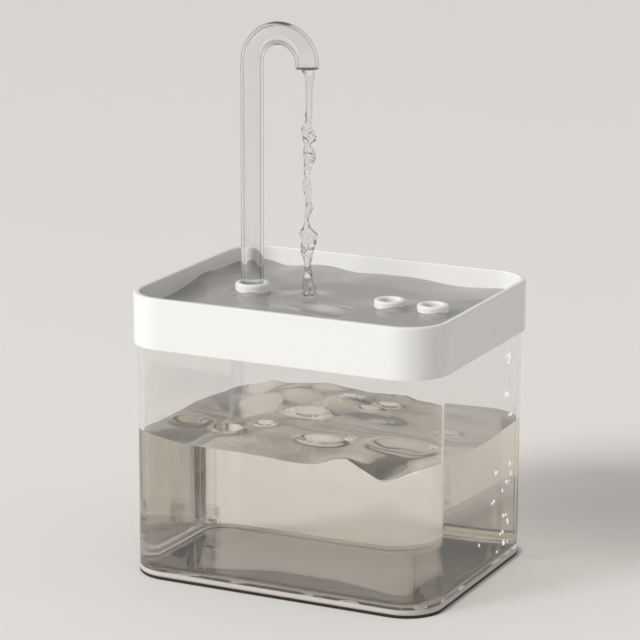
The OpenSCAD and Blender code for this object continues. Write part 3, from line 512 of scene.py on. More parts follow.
FINISHES: Dict[str, Finish] = {
    # The acrylic darkens where it is seen edge-on: painted edge shade.
    "tank": Clear("clear_acrylic", Fade((0.975, 0.97, 0.96), (0.80, 0.78, 0.76), 5.0), ACRYLIC,
                  straight=("Is Reflection Ray", "Is Diffuse Ray", "Is Shadow Ray")),
    "tank_edge": Clear("polished_edge", Fade((0.66, 0.61, 0.56), (0.62, 0.575, 0.53)), ACRYLIC,
                       rough=0.3, body=0.85),
    # Dark lines and a white band by the angle seen: painted outlines and a painted highlight along the tube.
    "clear_tube": Clear("tube_acrylic", Bands((
        (0.0, (0.97, 0.97, 0.965)), (0.27, (0.95, 0.95, 0.945)), (0.325, (0.42, 0.41, 0.40)),
        (0.38, (0.98, 0.98, 0.98)), (0.66, (1.0, 1.0, 1.0)), (0.74, (0.40, 0.39, 0.38)),
        (1.0, (0.22, 0.21, 0.20)))), TUBE_ACRYLIC),
    "wet_tube": Sheer("wet_tube", (0.80, 0.79, 0.77), (0.70, 0.69, 0.67), 0.03, 0.30),
    # Drops and bubbles glow with emission 0.5: painted glints.
    "bubble": Opaque("bubble", (0.97, 0.97, 0.97), (0.90, 0.90, 0.90), 0.16, grain=0.0004,
                     depth=0.000001, glow=0.5),
    # A dark finish on the faces that look down at the spout's mouth: a painted shade ring.
    "painted_mouth_shade": Opaque("painted_mouth_shade", (0.16, 0.155, 0.15), (0.08, 0.08, 0.08), 0.6, grain=0.0004),
    # The silicones darken where they are seen edge-on: painted edge shade.
    "clear_silicone": Clear("gasket_silicone", Fade((0.86, 0.86, 0.85), (0.5, 0.5, 0.5)), SILICONE,
                            rough=0.25, body=0.35),
    "hose_silicone": Clear("hose_silicone", Fade((0.84, 0.85, 0.85), (0.5, 0.5, 0.5)), SILICONE,
                           rough=0.2, body=0.45),
    "foot_rubber": Opaque("foot_rubber", (0.020, 0.020, 0.022), (0.012, 0.012, 0.013), 0.62,
                          # The foot ring is paler on the faces that look up or in towards the middle.
                          depth=0.00004, pale_tone=(0.60, 0.565, 0.53)),
    "white_gloss": Opaque("white_gloss", (0.865, 0.857, 0.845), (0.85, 0.842, 0.83), 0.26, grain=0.004,
                          depth=0.000002, coat=0.25),
    "white_matte": Opaque("white_matte", (0.80, 0.80, 0.79), (0.76, 0.76, 0.75), 0.5, grain=0.0006,
                          depth=0.00002),
    "spring_steel": Opaque("spring_steel", (0.66, 0.66, 0.65), (0.5, 0.5, 0.5), 0.28, Relief.BRUSHED,
                           grain=0.0006, depth=0.000008, metallic=1.0),
    "black_seal": Opaque("black_seal", (0.035, 0.035, 0.037), (0.02, 0.02, 0.02), 0.45, grain=0.0006),
    "stator_steel": Opaque("stator_steel", (0.40, 0.41, 0.43), (0.16, 0.16, 0.18), 0.38,
                           Relief.LAMINATED, grain=0.0007, depth=0.00006, metallic=1.0),
    "copper_wire": Opaque("copper_wire", (0.72, 0.33, 0.16), (0.30, 0.11, 0.05), 0.32, Relief.WOUND,
                          grain=0.00045, depth=0.00012, metallic=0.9, coat=0.5),
    "board_green": Opaque("board_green", (0.03, 0.20, 0.10), (0.02, 0.12, 0.06), 0.34, Relief.BOARD,
                          grain=0.004, depth=0.00004, coat=0.4),
    "ferrite": Opaque("ferrite", (0.075, 0.075, 0.08), (0.04, 0.04, 0.042), 0.42, Relief.GRAINY,
                      grain=0.0007, depth=0.00004, metallic=0.3),
    "ceramic": Opaque("ceramic", (0.86, 0.85, 0.81), (0.80, 0.79, 0.75), 0.18, Relief.BRUSHED,
                      grain=0.0004, depth=0.000004),
    "filter_fleece": Opaque("filter_fleece", (0.84, 0.84, 0.81), (0.62, 0.62, 0.59), 0.95,
                            Relief.FIBROUS, grain=0.0006, depth=0.0004, sheen=0.3),
    "carbon_granules": Opaque("carbon_granules", (0.035, 0.035, 0.038), (0.01, 0.01, 0.01), 0.7,
                              Relief.GRAINY, grain=0.0016, depth=0.0006),
    "filter_foam": Opaque("filter_foam", (0.30, 0.42, 0.56), (0.08, 0.13, 0.20), 0.9, Relief.POROUS,
                          grain=0.0013, depth=0.0008),
}
WATERS: Dict[str, Finish] = {
    # The tank's water is tinted warm, painted light of warm surroundings, and darkens edge-on: painted edge
    # shade.
    "tank_water": Clear("tank_water", Fade((0.945, 0.905, 0.85), (0.90, 0.86, 0.80), 4.0), WATER,
                        shadow=(0.95, 0.94, 0.92)),
    "tank_surface": Clear("tank_surface", Fade((0.97, 0.91, 0.83), (0.92, 0.85, 0.76), 2.0), WATER,
                          shadow=(0.96, 0.95, 0.93), body=0.16),
    # Dark grey where it is seen edge-on: painted reflection and shade on the tray's water.
    "tray_water": Clear("tray_water", Bands((
        (0.0, (0.84, 0.84, 0.83)), (0.30, (0.74, 0.735, 0.72)), (0.58, (0.46, 0.45, 0.435)),
        (0.74, (0.315, 0.305, 0.29)), (0.84, (0.27, 0.26, 0.25)), (1.0, (0.24, 0.23, 0.22)))), WATER,
        rough=0.10, shadow=(0.80, 0.79, 0.78), body=0.42),
    # Dark lines, pale bands and a near-black rim by the angle seen: painted outlines and painted highlights
    # on the jet.
    "stream_water": Clear("stream_water", Bands((
        (0.0, (0.93, 0.93, 0.92)), (0.22, (0.88, 0.88, 0.87)), (0.34, (0.34, 0.33, 0.32)),
        (0.44, (0.96, 0.96, 0.95)), (0.62, (0.95, 0.95, 0.94)), (0.80, (0.16, 0.155, 0.15)),
        (1.0, (0.04, 0.04, 0.04)))), WATER),
    # The bore's water darkens where it is seen edge-on: painted edge shade.
    "bore_water": Clear("bore_water", Fade((0.985, 0.985, 0.98), (0.9, 0.9, 0.9), 4.0), WATER),
}


class Palette:
    """Makes each finish once and hands it out."""

    def __init__(self) -> None:
        """Starts with nothing made."""
        self._made: Dict[str, bpy.types.Material] = {}

    def get(self, name: str) -> bpy.types.Material:
        """Makes a material, or finds it if it has been made.

        Args:
            name: a slot, another finish or a kind of water.

        Returns:
            The material.
        """
        if name not in self._made:
            self._made[name] = (FINISHES.get(name) or WATERS[name]).make()
        return self._made[name]


# ---------------------------------------------------------------- mesh helpers

def smooth(mesh: bpy.types.Mesh, crease: float) -> bpy.types.Mesh:
    """Shades a mesh smooth, apart from its creases.

    Args:
        mesh: the mesh.
        crease: the angle in degrees from which an edge stays sharp.

    Returns:
        The same mesh.
    """
    work = bmesh.new()
    work.from_mesh(mesh)
    for face in work.faces:
        face.smooth = True
    for edge in work.edges:
        edge.smooth = len(edge.link_faces) == 2 and edge.calc_face_angle(0.0) < math.radians(crease)
    work.to_mesh(mesh)
    work.free()
    return mesh


def linked(name: str, data: bpy.types.ID) -> bpy.types.Object:
    """Puts a mesh, a lamp or a camera in the scene.

    Args:
        name: the object's name.
        data: what it is made of.

    Returns:
        The object.
    """
    thing = bpy.data.objects.new(name, data)
    bpy.context.scene.collection.objects.link(thing)
    return thing


def new_object(name: str, mesh: bpy.types.Mesh, *materials: bpy.types.Material) -> bpy.types.Object:
    """Puts a mesh in the scene, with each face still in the material slot that it was in.

    Args:
        name: the object's name.
        mesh: its mesh.
        materials: its materials, in slot order.

    Returns:
        The object.
    """
    mesh.name = name
    kinds = [face.material_index for face in mesh.polygons]
    mesh.materials.clear()
    for material in materials:
        mesh.materials.append(material)
    mesh.polygons.foreach_set("material_index", kinds)
    return linked(name, mesh)


def evaluated_mesh(thing: bpy.types.Object) -> bpy.types.Mesh:
    """The mesh that an object's modifiers make."""
    graph = bpy.context.evaluated_depsgraph_get()
    return bpy.data.meshes.new_from_object(thing.evaluated_get(graph))


def band(first: int, second: int, count: int) -> List[Face]:
    """The faces between two rings of points.

    Args:
        first: the number of the first ring's first point.
        second: the number of the second ring's first point.
        count: how many points each ring has.

    Returns:
        The faces, one for each point of a ring.
    """
    return [(first + i, first + (i + 1) % count, second + (i + 1) % count, second + i)
            for i in range(count)]


def mesh_of(points: Sequence[Sequence[float]], faces: Sequence[Face],
            kinds: Optional[Sequence[int]] = None) -> bpy.types.Mesh:
    """Makes a closed mesh with its faces outwards.

    Args:
        points: the corners, in metres.
        faces: the corners of each face.
        kinds: each face's material slot.

    Returns:
        The mesh.
    """
    mesh = bpy.data.meshes.new("work")
    mesh.from_pydata(points, [], faces)
    if kinds is not None:
        mesh.polygons.foreach_set("material_index", kinds)
    work = bmesh.new()
    work.from_mesh(mesh)
    bmesh.ops.recalc_face_normals(work, faces=work.faces)
    work.to_mesh(mesh)
    work.free()
    return mesh


# ---------------------------------------------------------------- water

@dataclass(frozen=True)
class Swell:
    """A soft rise or hollow of the water, in millimetres."""

    x: float
    y: float
    rise: float
    run_x: float
    run_y: float

    def height(self, x: np.ndarray, y: np.ndarray) -> np.ndarray:
        """The rise at each point."""
        return self.rise * np.exp(-((x - self.x) / self.run_x) ** 2 - ((y - self.y) / self.run_y) ** 2)


@dataclass(frozen=True)
class Dimple:
    """A round hollow with a raised lip, as a bubble or a drop leaves it, in millimetres."""

    x: float
    y: float
    depth: float
    radius: float
    lip: float
    stretch: float = 1.0
    lip_at: float = 1.2
    lip_run: float = 0.3
    hollow_steep: float = 1.1

    def height(self, x: np.ndarray, y: np.ndarray) -> np.ndarray:
        """Works out the rise at each point.

        Args:
            x: the points' x.
            y: their y.

        Returns:
            The rises.
        """
        r = np.hypot((x - self.x) / self.stretch, y - self.y) / self.radius
        lip = self.lip * np.exp(-((r - self.lip_at) / self.lip_run) ** 2)
        return lip - self.depth * np.exp(-(r * self.hollow_steep) ** 4)


@dataclass(frozen=True)
class Chop:
    """Smooth crossing waves all over the water, in millimetres."""

    length: float
    rise: float
    start: float
    trains: int = 5
    turn: float = 1.257
    growth: float = 0.27
    lag: float = 2.1

    def height(self, x: np.ndarray, y: np.ndarray) -> np.ndarray:
        """Works out the rise at each point.

        Args:
            x: the points' x.
            y: their y.

        Returns:
            The rises.
        """
        total = np.zeros_like(x)
        for train in range(self.trains):
            heading = self.start + train * self.turn
            reach = self.length * (1.0 + self.growth * train)
            along = x * math.cos(heading) + y * math.sin(heading)
            total += np.sin(along * math.tau / reach + self.start * (train + 1) * self.lag)
        return total * self.rise / self.trains


Wave = Union[Swell, Dimple, Chop]


@dataclass
class Pool:
    """Water that stands in a round-cornered vessel, in millimetres, with a shaped surface."""

    name: str
    wide: float
    deep: float
    corner: float
    bottom: float
    level: float
    fillet: float
    waves: Sequence[Wave]
    around: int = 320
    rings: int = 90
    fillet_steps: int = 6
    centre_x: float = 0.0
    least_corner: float = 0.5

    def outline(self, inset: float) -> np.ndarray:
        """The vessel's outline, anticlockwise from above.

        Args:
            inset: how far inside the wall it runs.

        Returns:
            Its points, evenly spaced along the wall.
        """
        r = max(self.corner - inset, self.least_corner)
        run_x, run_y = self.wide / 2 - inset - r, self.deep / 2 - inset - r
        arc = math.pi * r / 2
        lengths = [2 * run_y, arc, 2 * run_x, arc, 2 * run_y, arc, 2 * run_x, arc]
        total = sum(lengths)
        points: List[Tuple[float, float]] = []
        for i in range(self.around):
            s = total * i / self.around
            part = 0
            while s > lengths[part]:
                s -= lengths[part]
                part += 1
            side = part // 2
            turn = side * math.pi / 2
            cx, cy = [(run_x, run_y), (-run_x, run_y), (-run_x, -run_y), (run_x, -run_y)][side]
            if part % 2:
                angle = turn + s / r
                points.append((cx + r * math.cos(angle), cy + r * math.sin(angle)))
            else:
                back = lengths[part] - s
                points.append((cx + r * math.cos(turn) + back * math.sin(turn),
                               cy + r * math.sin(turn) - back * math.cos(turn)))
        return np.array(points)

    def surface(self, x: np.ndarray, y: np.ndarray) -> np.ndarray:
        """The surface's height at each point."""
        return np.full_like(x, self.level) + sum(wave.height(x, y) for wave in self.waves)

    def mesh(self) -> bpy.types.Mesh:
        """Builds the water as one closed solid.

        Returns:
            The mesh, with its surface in material slot 1 and its sides in slot 0.
        """
        rim = self.outline(0.0)
        points: List[Sequence[float]] = []
        for share in np.linspace(1.0, 0.0, self.rings + 1)[:-1]:
            flat = rim * share
            points += list(np.column_stack([flat, self.surface(flat[:, 0], flat[:, 1])]))
        middle = len(points)
        points.append((0.0, 0.0, float(self.surface(np.array([0.0]), np.array([0.0]))[0])))
        n = self.around
        faces: List[Face] = []
        for k in range(self.rings - 1):
            faces += band(k * n, (k + 1) * n, n)
        last = (self.rings - 1) * n
        faces += [(last + i, last + (i + 1) % n, middle) for i in range(n)]
        top_count = len(faces)
        previous = 0
        for step in range(self.fillet_steps + 1):
            angle = math.pi / 2 * step / self.fillet_steps
            inset = self.fillet * (1 - math.cos(angle))
            z = self.bottom + self.fillet * (1 - math.sin(angle))
            start = len(points)
            points += [(px, py, z) for px, py in self.outline(inset)]
            faces += [(previous + i, start + i, start + (i + 1) % n, previous + (i + 1) % n)
                      for i in range(n)]
            previous = start
        floor_middle = len(points)
        points.append((0.0, 0.0, self.bottom))
        faces += [(previous + i, floor_middle, previous + (i + 1) % n) for i in range(n)]
        kinds = [1] * top_count + [0] * (len(faces) - top_count)
        placed = [((px + self.centre_x) * MM, py * MM, pz * MM) for px, py, pz in points]
        return smooth(mesh_of(placed, faces, kinds), WATER_CREASE)


@dataclass(frozen=True)
class Post:
    """A round piece that stands in the water, in millimetres."""

    x: float
    y: float
    radius: float


def cut_posts(thing: bpy.types.Object, posts: Sequence[Post], low: float, high: float,
              sides: int = 72) -> None:
    """Cuts round holes through a piece of water.

    Args:
        thing: the water.
        posts: what stands in it.
        low: the cutters' lower end, in millimetres.
        high: their upper end.
        sides: how many sides they have.
    """
    for post in posts:
        radius = post.radius * MM
        middle = Matrix.Translation((post.x * MM, post.y * MM, (low + high) / 2 * MM))
        work = bmesh.new()
        bmesh.ops.create_cone(work, cap_ends=True, segments=sides, radius1=radius, radius2=radius,
                              depth=(high - low) * MM, matrix=middle)
        mesh = bpy.data.meshes.new("cutter")
        work.to_mesh(mesh)
        work.free()
        cutter = new_object("cutter", mesh)
        cut = thing.modifiers.new("cut", "BOOLEAN")
        cut.operation, cut.object, cut.solver = "DIFFERENCE", cutter, "EXACT"
        mesh = evaluated_mesh(thing)
        thing.modifiers.remove(cut)
        thing.data = mesh
        bpy.data.objects.remove(cutter)
    smooth(thing.data, WATER_CREASE)


@dataclass
class Stream:
    """The jet of water from the spout's mouth to the pool, in millimetres.

    Each station holds a height, the jet's width there and how far it is shifted away from the spout.
    """

    x: float = -15.9
    y: float = 0.0
    stations: Sequence[Point] = (
        (284.2, 8.0, 0.6), (281.5, 6.2, 1.5), (276.0, 4.3, 1.4), (270.0, 3.7, 1.2), (262.5, 3.8, 1.3),
        (256.8, 4.1, 1.2), (255.4, 3.0, 1.0), (253.9, 4.2, 0.9), (248.0, 7.2, 0.2), (244.0, 5.8, 1.5),
        (241.4, 2.6, 0.5), (234.6, 7.2, 1.6), (227.0, 4.2, 0.4), (223.0, 2.8, 0.4), (219.0, 4.8, 0.0),
        (213.2, 3.4, 0.9), (209.2, 2.7, 1.1), (205.4, 4.5, 1.4), (199.7, 2.5, 0.1), (195.0, 3.6, 0.5),
        (191.0, 8.2, 1.2), (185.2, 7.6, 1.2), (177.4, 6.2, 0.6), (171.8, 3.4, 0.7), (168.0, 4.9, 1.2),
        (163.9, 5.1, 1.2), (158.1, 6.6, 1.5), (155.2, 5.4, 1.1))
    sides: int = 28
    steps: int = 6
    smooth_above: float = 262.0
    smooth_run: float = 12.0
    sway: float = 0.3
    two_lobes: float = 0.20
    two_lobes_twist: float = 0.23
    three_lobes: float = 0.13
    three_lobes_twist: float = 0.41
    grit: float = 0.34
    grit_around: float = 1.5
    grit_along: float = 0.27

    def radius(self, width: float, turn: float, z: float) -> float:
        """How far the jet's skin is from its middle.

        Args:
            width: the jet's width at that height.
            turn: the direction, in radians.
            z: the height.

        Returns:
            The distance.
        """
        lumpy = max(0.0, min(1.0, (self.smooth_above - z) / self.smooth_run))
        lobes = (self.two_lobes * math.cos(2 * turn + z * self.two_lobes_twist)
                 + self.three_lobes * math.cos(3 * turn - z * self.three_lobes_twist))
        grit = self.grit * noise.noise(Vector((
            math.cos(turn) * self.grit_around, math.sin(turn) * self.grit_around, z * self.grit_along)))
        return width / 2 * (1 + lumpy * (lobes + grit))

    def mesh(self) -> bpy.types.Mesh:
        """Builds the jet as one closed, lumpy column.

        Returns:
            The mesh.
        """
        heights, widths, shifts = np.array(self.stations)[::-1].T
        fine = np.linspace(heights[0], heights[-1], len(heights) * self.steps)
        points: List[Point] = []
        for z in fine:
            width = float(np.interp(z, heights, widths))
            shift = float(np.interp(z, heights, shifts))
            for i in range(self.sides):
                turn = math.tau * i / self.sides
                r = self.radius(width, turn, z)
                points.append(((self.x + shift + r * math.cos(turn)) * MM,
                               (self.y + shift * self.sway + r * math.sin(turn)) * MM, z * MM))
        n = self.sides
        faces: List[Face] = []
        for k in range(len(fine) - 1):
            faces += band(k * n, (k + 1) * n, n)
        faces.append(tuple(range(n))[::-1])
        faces.append(tuple((len(fine) - 1) * n + i for i in range(n)))
        return smooth(mesh_of(points, faces), ROUND_CREASE)


# ---------------------------------------------------------------- geometry nodes

class Recipe:
    """A Geometry Nodes tree with named inputs, run once and turned into a plain mesh."""

    def __init__(self, name: str, numbers: Mapping[str, float]) -> None:
        """Starts the tree with a carrier input, one input for each named size, and an output.

        Args:
            name: the tree's name.
            numbers: the named inputs and their usual values.
        """
        self.tree = bpy.data.node_groups.new(name, "GeometryNodeTree")
        self.graph = Graph(self.tree)
        self.tree.interface.new_socket("Carrier", in_out="INPUT", socket_type="NodeSocketGeometry")
        self.tree.interface.new_socket("Made", in_out="OUTPUT", socket_type="NodeSocketGeometry")
        self.keys: Dict[str, str] = {}
        for label, value in numbers.items():
            kind = "NodeSocketInt" if isinstance(value, int) else "NodeSocketFloat"
            item = self.tree.interface.new_socket(label, in_out="INPUT", socket_type=kind)
            item.default_value = value
            self.keys[label] = item.identifier
        self.source = self.tree.nodes.new("NodeGroupInput")

    def value(self, label: str) -> Sock:
        """One of the tree's inputs."""
        return Sock(self.graph, self.source.outputs[label])

    def spread(self) -> Sock:
        """Points scattered over the carrier, by the inputs Density and Seed."""
        return self.graph.add("GeometryNodeDistributePointsOnFaces", inputs={
            "Mesh": self.value("Carrier"), "Density": self.value("Density"), "Seed": self.value("Seed")})

    def random_size(self) -> Sock:
        """Draws a size for each point.

        Returns:
            A size between the inputs Smallest and Largest.
        """
        return self.graph.add("FunctionNodeRandomValue", {"data_type": "FLOAT"}, {
            RANDOM_LEAST: self.value("Smallest"), RANDOM_MOST: self.value("Largest"),
            "Seed": self.value("Seed")}, RANDOM_NUMBER)

    def close(self, made: Sock, material: bpy.types.Material,
              second: Optional[bpy.types.Material] = None, where: Optional[Sock] = None) -> None:
        """Ends the tree in Realize Instances and Set Material.

        Args:
            made: the geometry.
            material: what it is made of.
            second: the finish of some of its faces.
            where: which faces those are.
        """
        real = self.graph.add("GeometryNodeRealizeInstances", inputs={"Geometry": made})
        dressed = self.graph.add("GeometryNodeSetMaterial", inputs={"Geometry": real, "Material": material})
        if second is not None:
            dressed = self.graph.add("GeometryNodeSetMaterial", inputs={
                "Geometry": dressed, "Selection": where, "Material": second})
        self.graph.add("NodeGroupOutput", inputs={"Made": dressed})

    def bake(self, name: str, carrier: bpy.types.Mesh, sizes: Mapping[str, float],
             *materials: bpy.types.Material) -> bpy.types.Object:
        """Runs the tree on a carrier.

        Args:
            name: the piece's name.
            carrier: the mesh that the tree starts from.
            sizes: the values of the named inputs.
            materials: what the piece is made of, in slot order.

        Returns:
            The piece, a plain mesh.
        """
        holder = new_object(name + "_carrier", carrier)
        modifier = holder.modifiers.new("grow", "NODES")
        modifier.node_group = self.tree
        for label, value in sizes.items():
            modifier[self.keys[label]] = value
        mesh = evaluated_mesh(holder)
        holder.modifiers.remove(modifier)
        bpy.data.objects.remove(holder)
        kinds = [materials.index(mesh.materials[face.material_index]) for face in mesh.polygons]
        thing = new_object(name, smooth(mesh, ROUND_CREASE), *materials)
        thing.data.polygons.foreach_set("material_index", kinds)
        return thing


@dataclass
class SwanNeck:
    """The clear spout tube and the water that fills it, in millimetres."""

    x: float = -50.0
    foot: float = 128.8
    centre: float = 286.1
    bend: float = 17.2
    mouth: float = 284.6
    outside: float = 6.5
    bore: float = 4.8
    lead: float = 1.0
    core_lead: float = 0.1
    water_lead: float = 1.3
    water_lap: float = 0.04
    mouth_reach: float = 5.0
    facing_down: float = 0.95
    sides: int = 64
    rise_steps: int = 12
    bend_steps: int = 56

    def path(self) -> bpy.types.Mesh:
        """The tube's middle line, with a short lead past both of its ends.

        Returns:
            A mesh of edges only.
        """
        rise = np.linspace(self.foot - self.lead, self.centre, self.rise_steps)
        points = [(self.x, 0.0, z) for z in rise]
        for step in range(1, self.bend_steps + 1):
            turn = math.pi * step / self.bend_steps
            points.append((self.x + self.bend * (1 - math.cos(turn)), 0.0,
                           self.centre + self.bend * math.sin(turn)))
        points.append((self.x + 2 * self.bend, 0.0, self.mouth - self.lead))
        links = [(i, i + 1) for i in range(len(points) - 1)]
        mesh = bpy.data.meshes.new("path")
        mesh.from_pydata([[c * MM for c in point] for point in points], links, [])
        return mesh

    def swept(self, recipe: Recipe, radius: Sock, lead: Sock) -> Sock:
        """Adds the nodes of a closed rod along the path.

        Args:
            recipe: the tree.
            radius: the rod's radius.
            lead: how much of each end is left off.

        Returns:
            The rod.
        """
        add = recipe.graph.add
        line = add("GeometryNodeMeshToCurve", inputs={"Mesh": recipe.value("Carrier")})
        length = add("GeometryNodeCurveLength", inputs={"Curve": line})
        trimmed = add("GeometryNodeTrimCurve", {"mode": "LENGTH"}, {
            "Curve": line, TRIM_START: lead, TRIM_END: length - lead})
        ring = add("GeometryNodeCurvePrimitiveCircle", inputs={
            "Resolution": recipe.value("Sides"), "Radius": radius})
        return add("GeometryNodeCurveToMesh", inputs={
            "Curve": trimmed, "Profile Curve": ring, "Fill Caps": True})

    def tube(self, palette: Palette) -> bpy.types.Object:
        """Makes the tube: a rod along the path, less its bore, whose faces that look down at the mouth wear a
        dark finish, a painted shade ring.

        Args:
            palette: the finishes.

        Returns:
            The piece.
        """
        sizes = {
            "Outside": self.outside * MM, "Bore": self.bore * MM, "Lead": self.lead * MM, "Sides": self.sides}
        recipe = Recipe("swan_neck_tree", sizes)
        add = recipe.graph.add
        rod = self.swept(recipe, recipe.value("Outside"), recipe.value("Lead"))
        core = self.swept(recipe, recipe.value("Bore"), recipe.value("Lead") * self.core_lead)
        wall = add("GeometryNodeMeshBoolean", {"operation": "DIFFERENCE", "solver": "EXACT"}, {
            "Mesh 1": rod, "Mesh 2": core})
        finishes = (palette.get("clear_tube"), palette.get("painted_mouth_shade"))
        recipe.close(wall, *finishes, self.at_mouth(recipe))
        return recipe.bake("swan_neck_tube", self.path(), sizes, *finishes)

    def at_mouth(self, recipe: Recipe) -> Sock:
        """Picks the faces that look down at the mouth, which wear the dark painted shade.

        Args:
            recipe: the tree.

        Returns:
            Which faces they are.
        """
        add = recipe.graph.add
        above = {"data_type": "FLOAT", "operation": "GREATER_THAN"}
        down = 0.0 - recipe.graph.part(add("GeometryNodeInputNormal"), "Z")
        high = recipe.graph.part(add("GeometryNodeInputPosition"), "Z")
        return add("FunctionNodeBooleanMath", {"operation": "AND"}, {
            0: add("FunctionNodeCompare", above, {0: down, 1: self.facing_down}),
            1: add("FunctionNodeCompare", above, {0: high, 1: (self.mouth - self.mouth_reach) * MM})})

    def water(self, palette: Palette) -> bpy.types.Object:
        """Makes the water in the bore, whose faces that look down at the mouth wear the dark painted shade.

        Args:
            palette: the finishes.

        Returns:
            The piece.
        """
        sizes = {
            "Bore": (self.bore + self.water_lap) * MM, "Lead": self.lead * self.water_lead * MM,
            "Sides": self.sides}
        recipe = Recipe("bore_water_tree", sizes)
        finishes = (palette.get("bore_water"), palette.get("painted_mouth_shade"))
        rod = self.swept(recipe, recipe.value("Bore"), recipe.value("Lead"))
        recipe.close(rod, *finishes, self.at_mouth(recipe))
        return recipe.bake("bore_water", self.path(), sizes, *finishes)


@dataclass(frozen=True)
class Patch:
    """A rectangle on which drops sit: a corner and two sides, in millimetres."""

    corner: Point
    side: Point
    rise: Point


def draped(pool: Pool, low: Tuple[float, float], high: Tuple[float, float], cells: int) -> List[Patch]:
    """Covers a rectangle of a pool's surface with small patches.

    Args:
        pool: the water.
        low: the rectangle's lowest x and y.
        high: its highest x and y.
        cells: how many patches it has each way.

    Returns:
        The patches, which follow the waves.
    """
    step = ((high[0] - low[0]) / cells, (high[1] - low[1]) / cells)
    patches = []
    for i in range(cells):
        for j in range(cells):
            x, y = low[0] + i * step[0], low[1] + j * step[1]
            z = pool.surface(np.array([x, x + step[0], x]), np.array([y, y, y + step[1]]))
            patches.append(Patch((x, y, float(z[0])), (step[0], 0.0, float(z[1] - z[0])),
                                 (0.0, step[1], float(z[2] - z[0]))))
    return patches


@dataclass
class Drops:
    """Drops or bubbles scattered over some patches: how many to a square metre, and their sizes in metres."""

    name: str
    patches: Sequence[Patch]
    density: float
    smallest: float
    largest: float
    flat: float
    seed: int
    detail: int

    def carrier(self) -> bpy.types.Mesh:
        """Joins the patches.

        Returns:
            One mesh of them all.
        """
        points, faces = [], []
        for patch in self.patches:
            corner, side, rise = Vector(patch.corner), Vector(patch.side), Vector(patch.rise)
            start = len(points)
            points += [(p * MM)[:] for p in (corner, corner + side, corner + side + rise, corner + rise)]
            faces.append((start, start + 1, start + 2, start + 3))
        mesh = bpy.data.meshes.new(self.name)
        mesh.from_pydata(points, [], faces)
        return mesh

    def build(self, material: bpy.types.Material) -> bpy.types.Object:
        """Scatters the drops.

        Args:
            material: the water that they are of.

        Returns:
            The drops as one piece.
        """
        sizes = {
            "Density": self.density, "Smallest": self.smallest, "Largest": self.largest, "Seed": self.seed,
            "Flat": self.flat, "Detail": self.detail}
        recipe = Recipe(self.name + "_tree", sizes)
        add = recipe.graph.add
        spread = recipe.spread()
        turn = Sock(recipe.graph, spread.socket.node.outputs["Rotation"])
        drop = add("GeometryNodeMeshIcoSphere", inputs={
            "Radius": 1.0, "Subdivisions": recipe.value("Detail")})
        size = recipe.random_size()
        scale = add("ShaderNodeCombineXYZ", inputs={0: size, 1: size, 2: size * recipe.value("Flat")})
        placed = add("GeometryNodeInstanceOnPoints", inputs={
            "Points": spread, "Instance": drop, "Rotation": turn, "Scale": scale})
        recipe.close(placed, material)
        return recipe.bake(self.name, self.carrier(), sizes, material)


# ---------------------------------------------------------------- sub-assemblies

def node_slots() -> Dict[str, str]:
    """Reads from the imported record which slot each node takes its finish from.

    Returns:
        Slot name by node name.
    """
    return {part["node"]: part["material_slot"] for part in frame["record"]["subparts"]}


NODE_SLOTS: Dict[str, str] = node_slots()


@dataclass
class SubAssembly:
    """Solids of the frame that belong together, with the pieces that are made for them here."""

    palette: Palette
    nodes: Tuple[str, ...] = ()

    def finish_of(self, node: str) -> str:
        """The name of the finish that a node wears."""
        return NODE_SLOTS[node]

    def dress(self) -> None:
        """Gives each solid its finish."""
        for node in self.nodes:
            for place in frame["nodes"][node].material_slots:
                place.material = self.palette.get(self.finish_of(node))
            log.info("%s wears %s", node, self.finish_of(node))

    def put(self, piece: bpy.types.Object, body: str, node: Optional[str] = None) -> None:
        """Ties a piece made here to a body of the frame.

        Args:
            piece: the piece.
            body: the body that it rides on.
            node: the node that it is shown for, if any.
        """
        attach(piece, body)
        if node is not None:
            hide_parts(node)
        log.info("made %s on %s", piece.name, body)

    def build(self) -> None:
        """Makes the sub-assembly's own pieces; there are none unless it says so."""


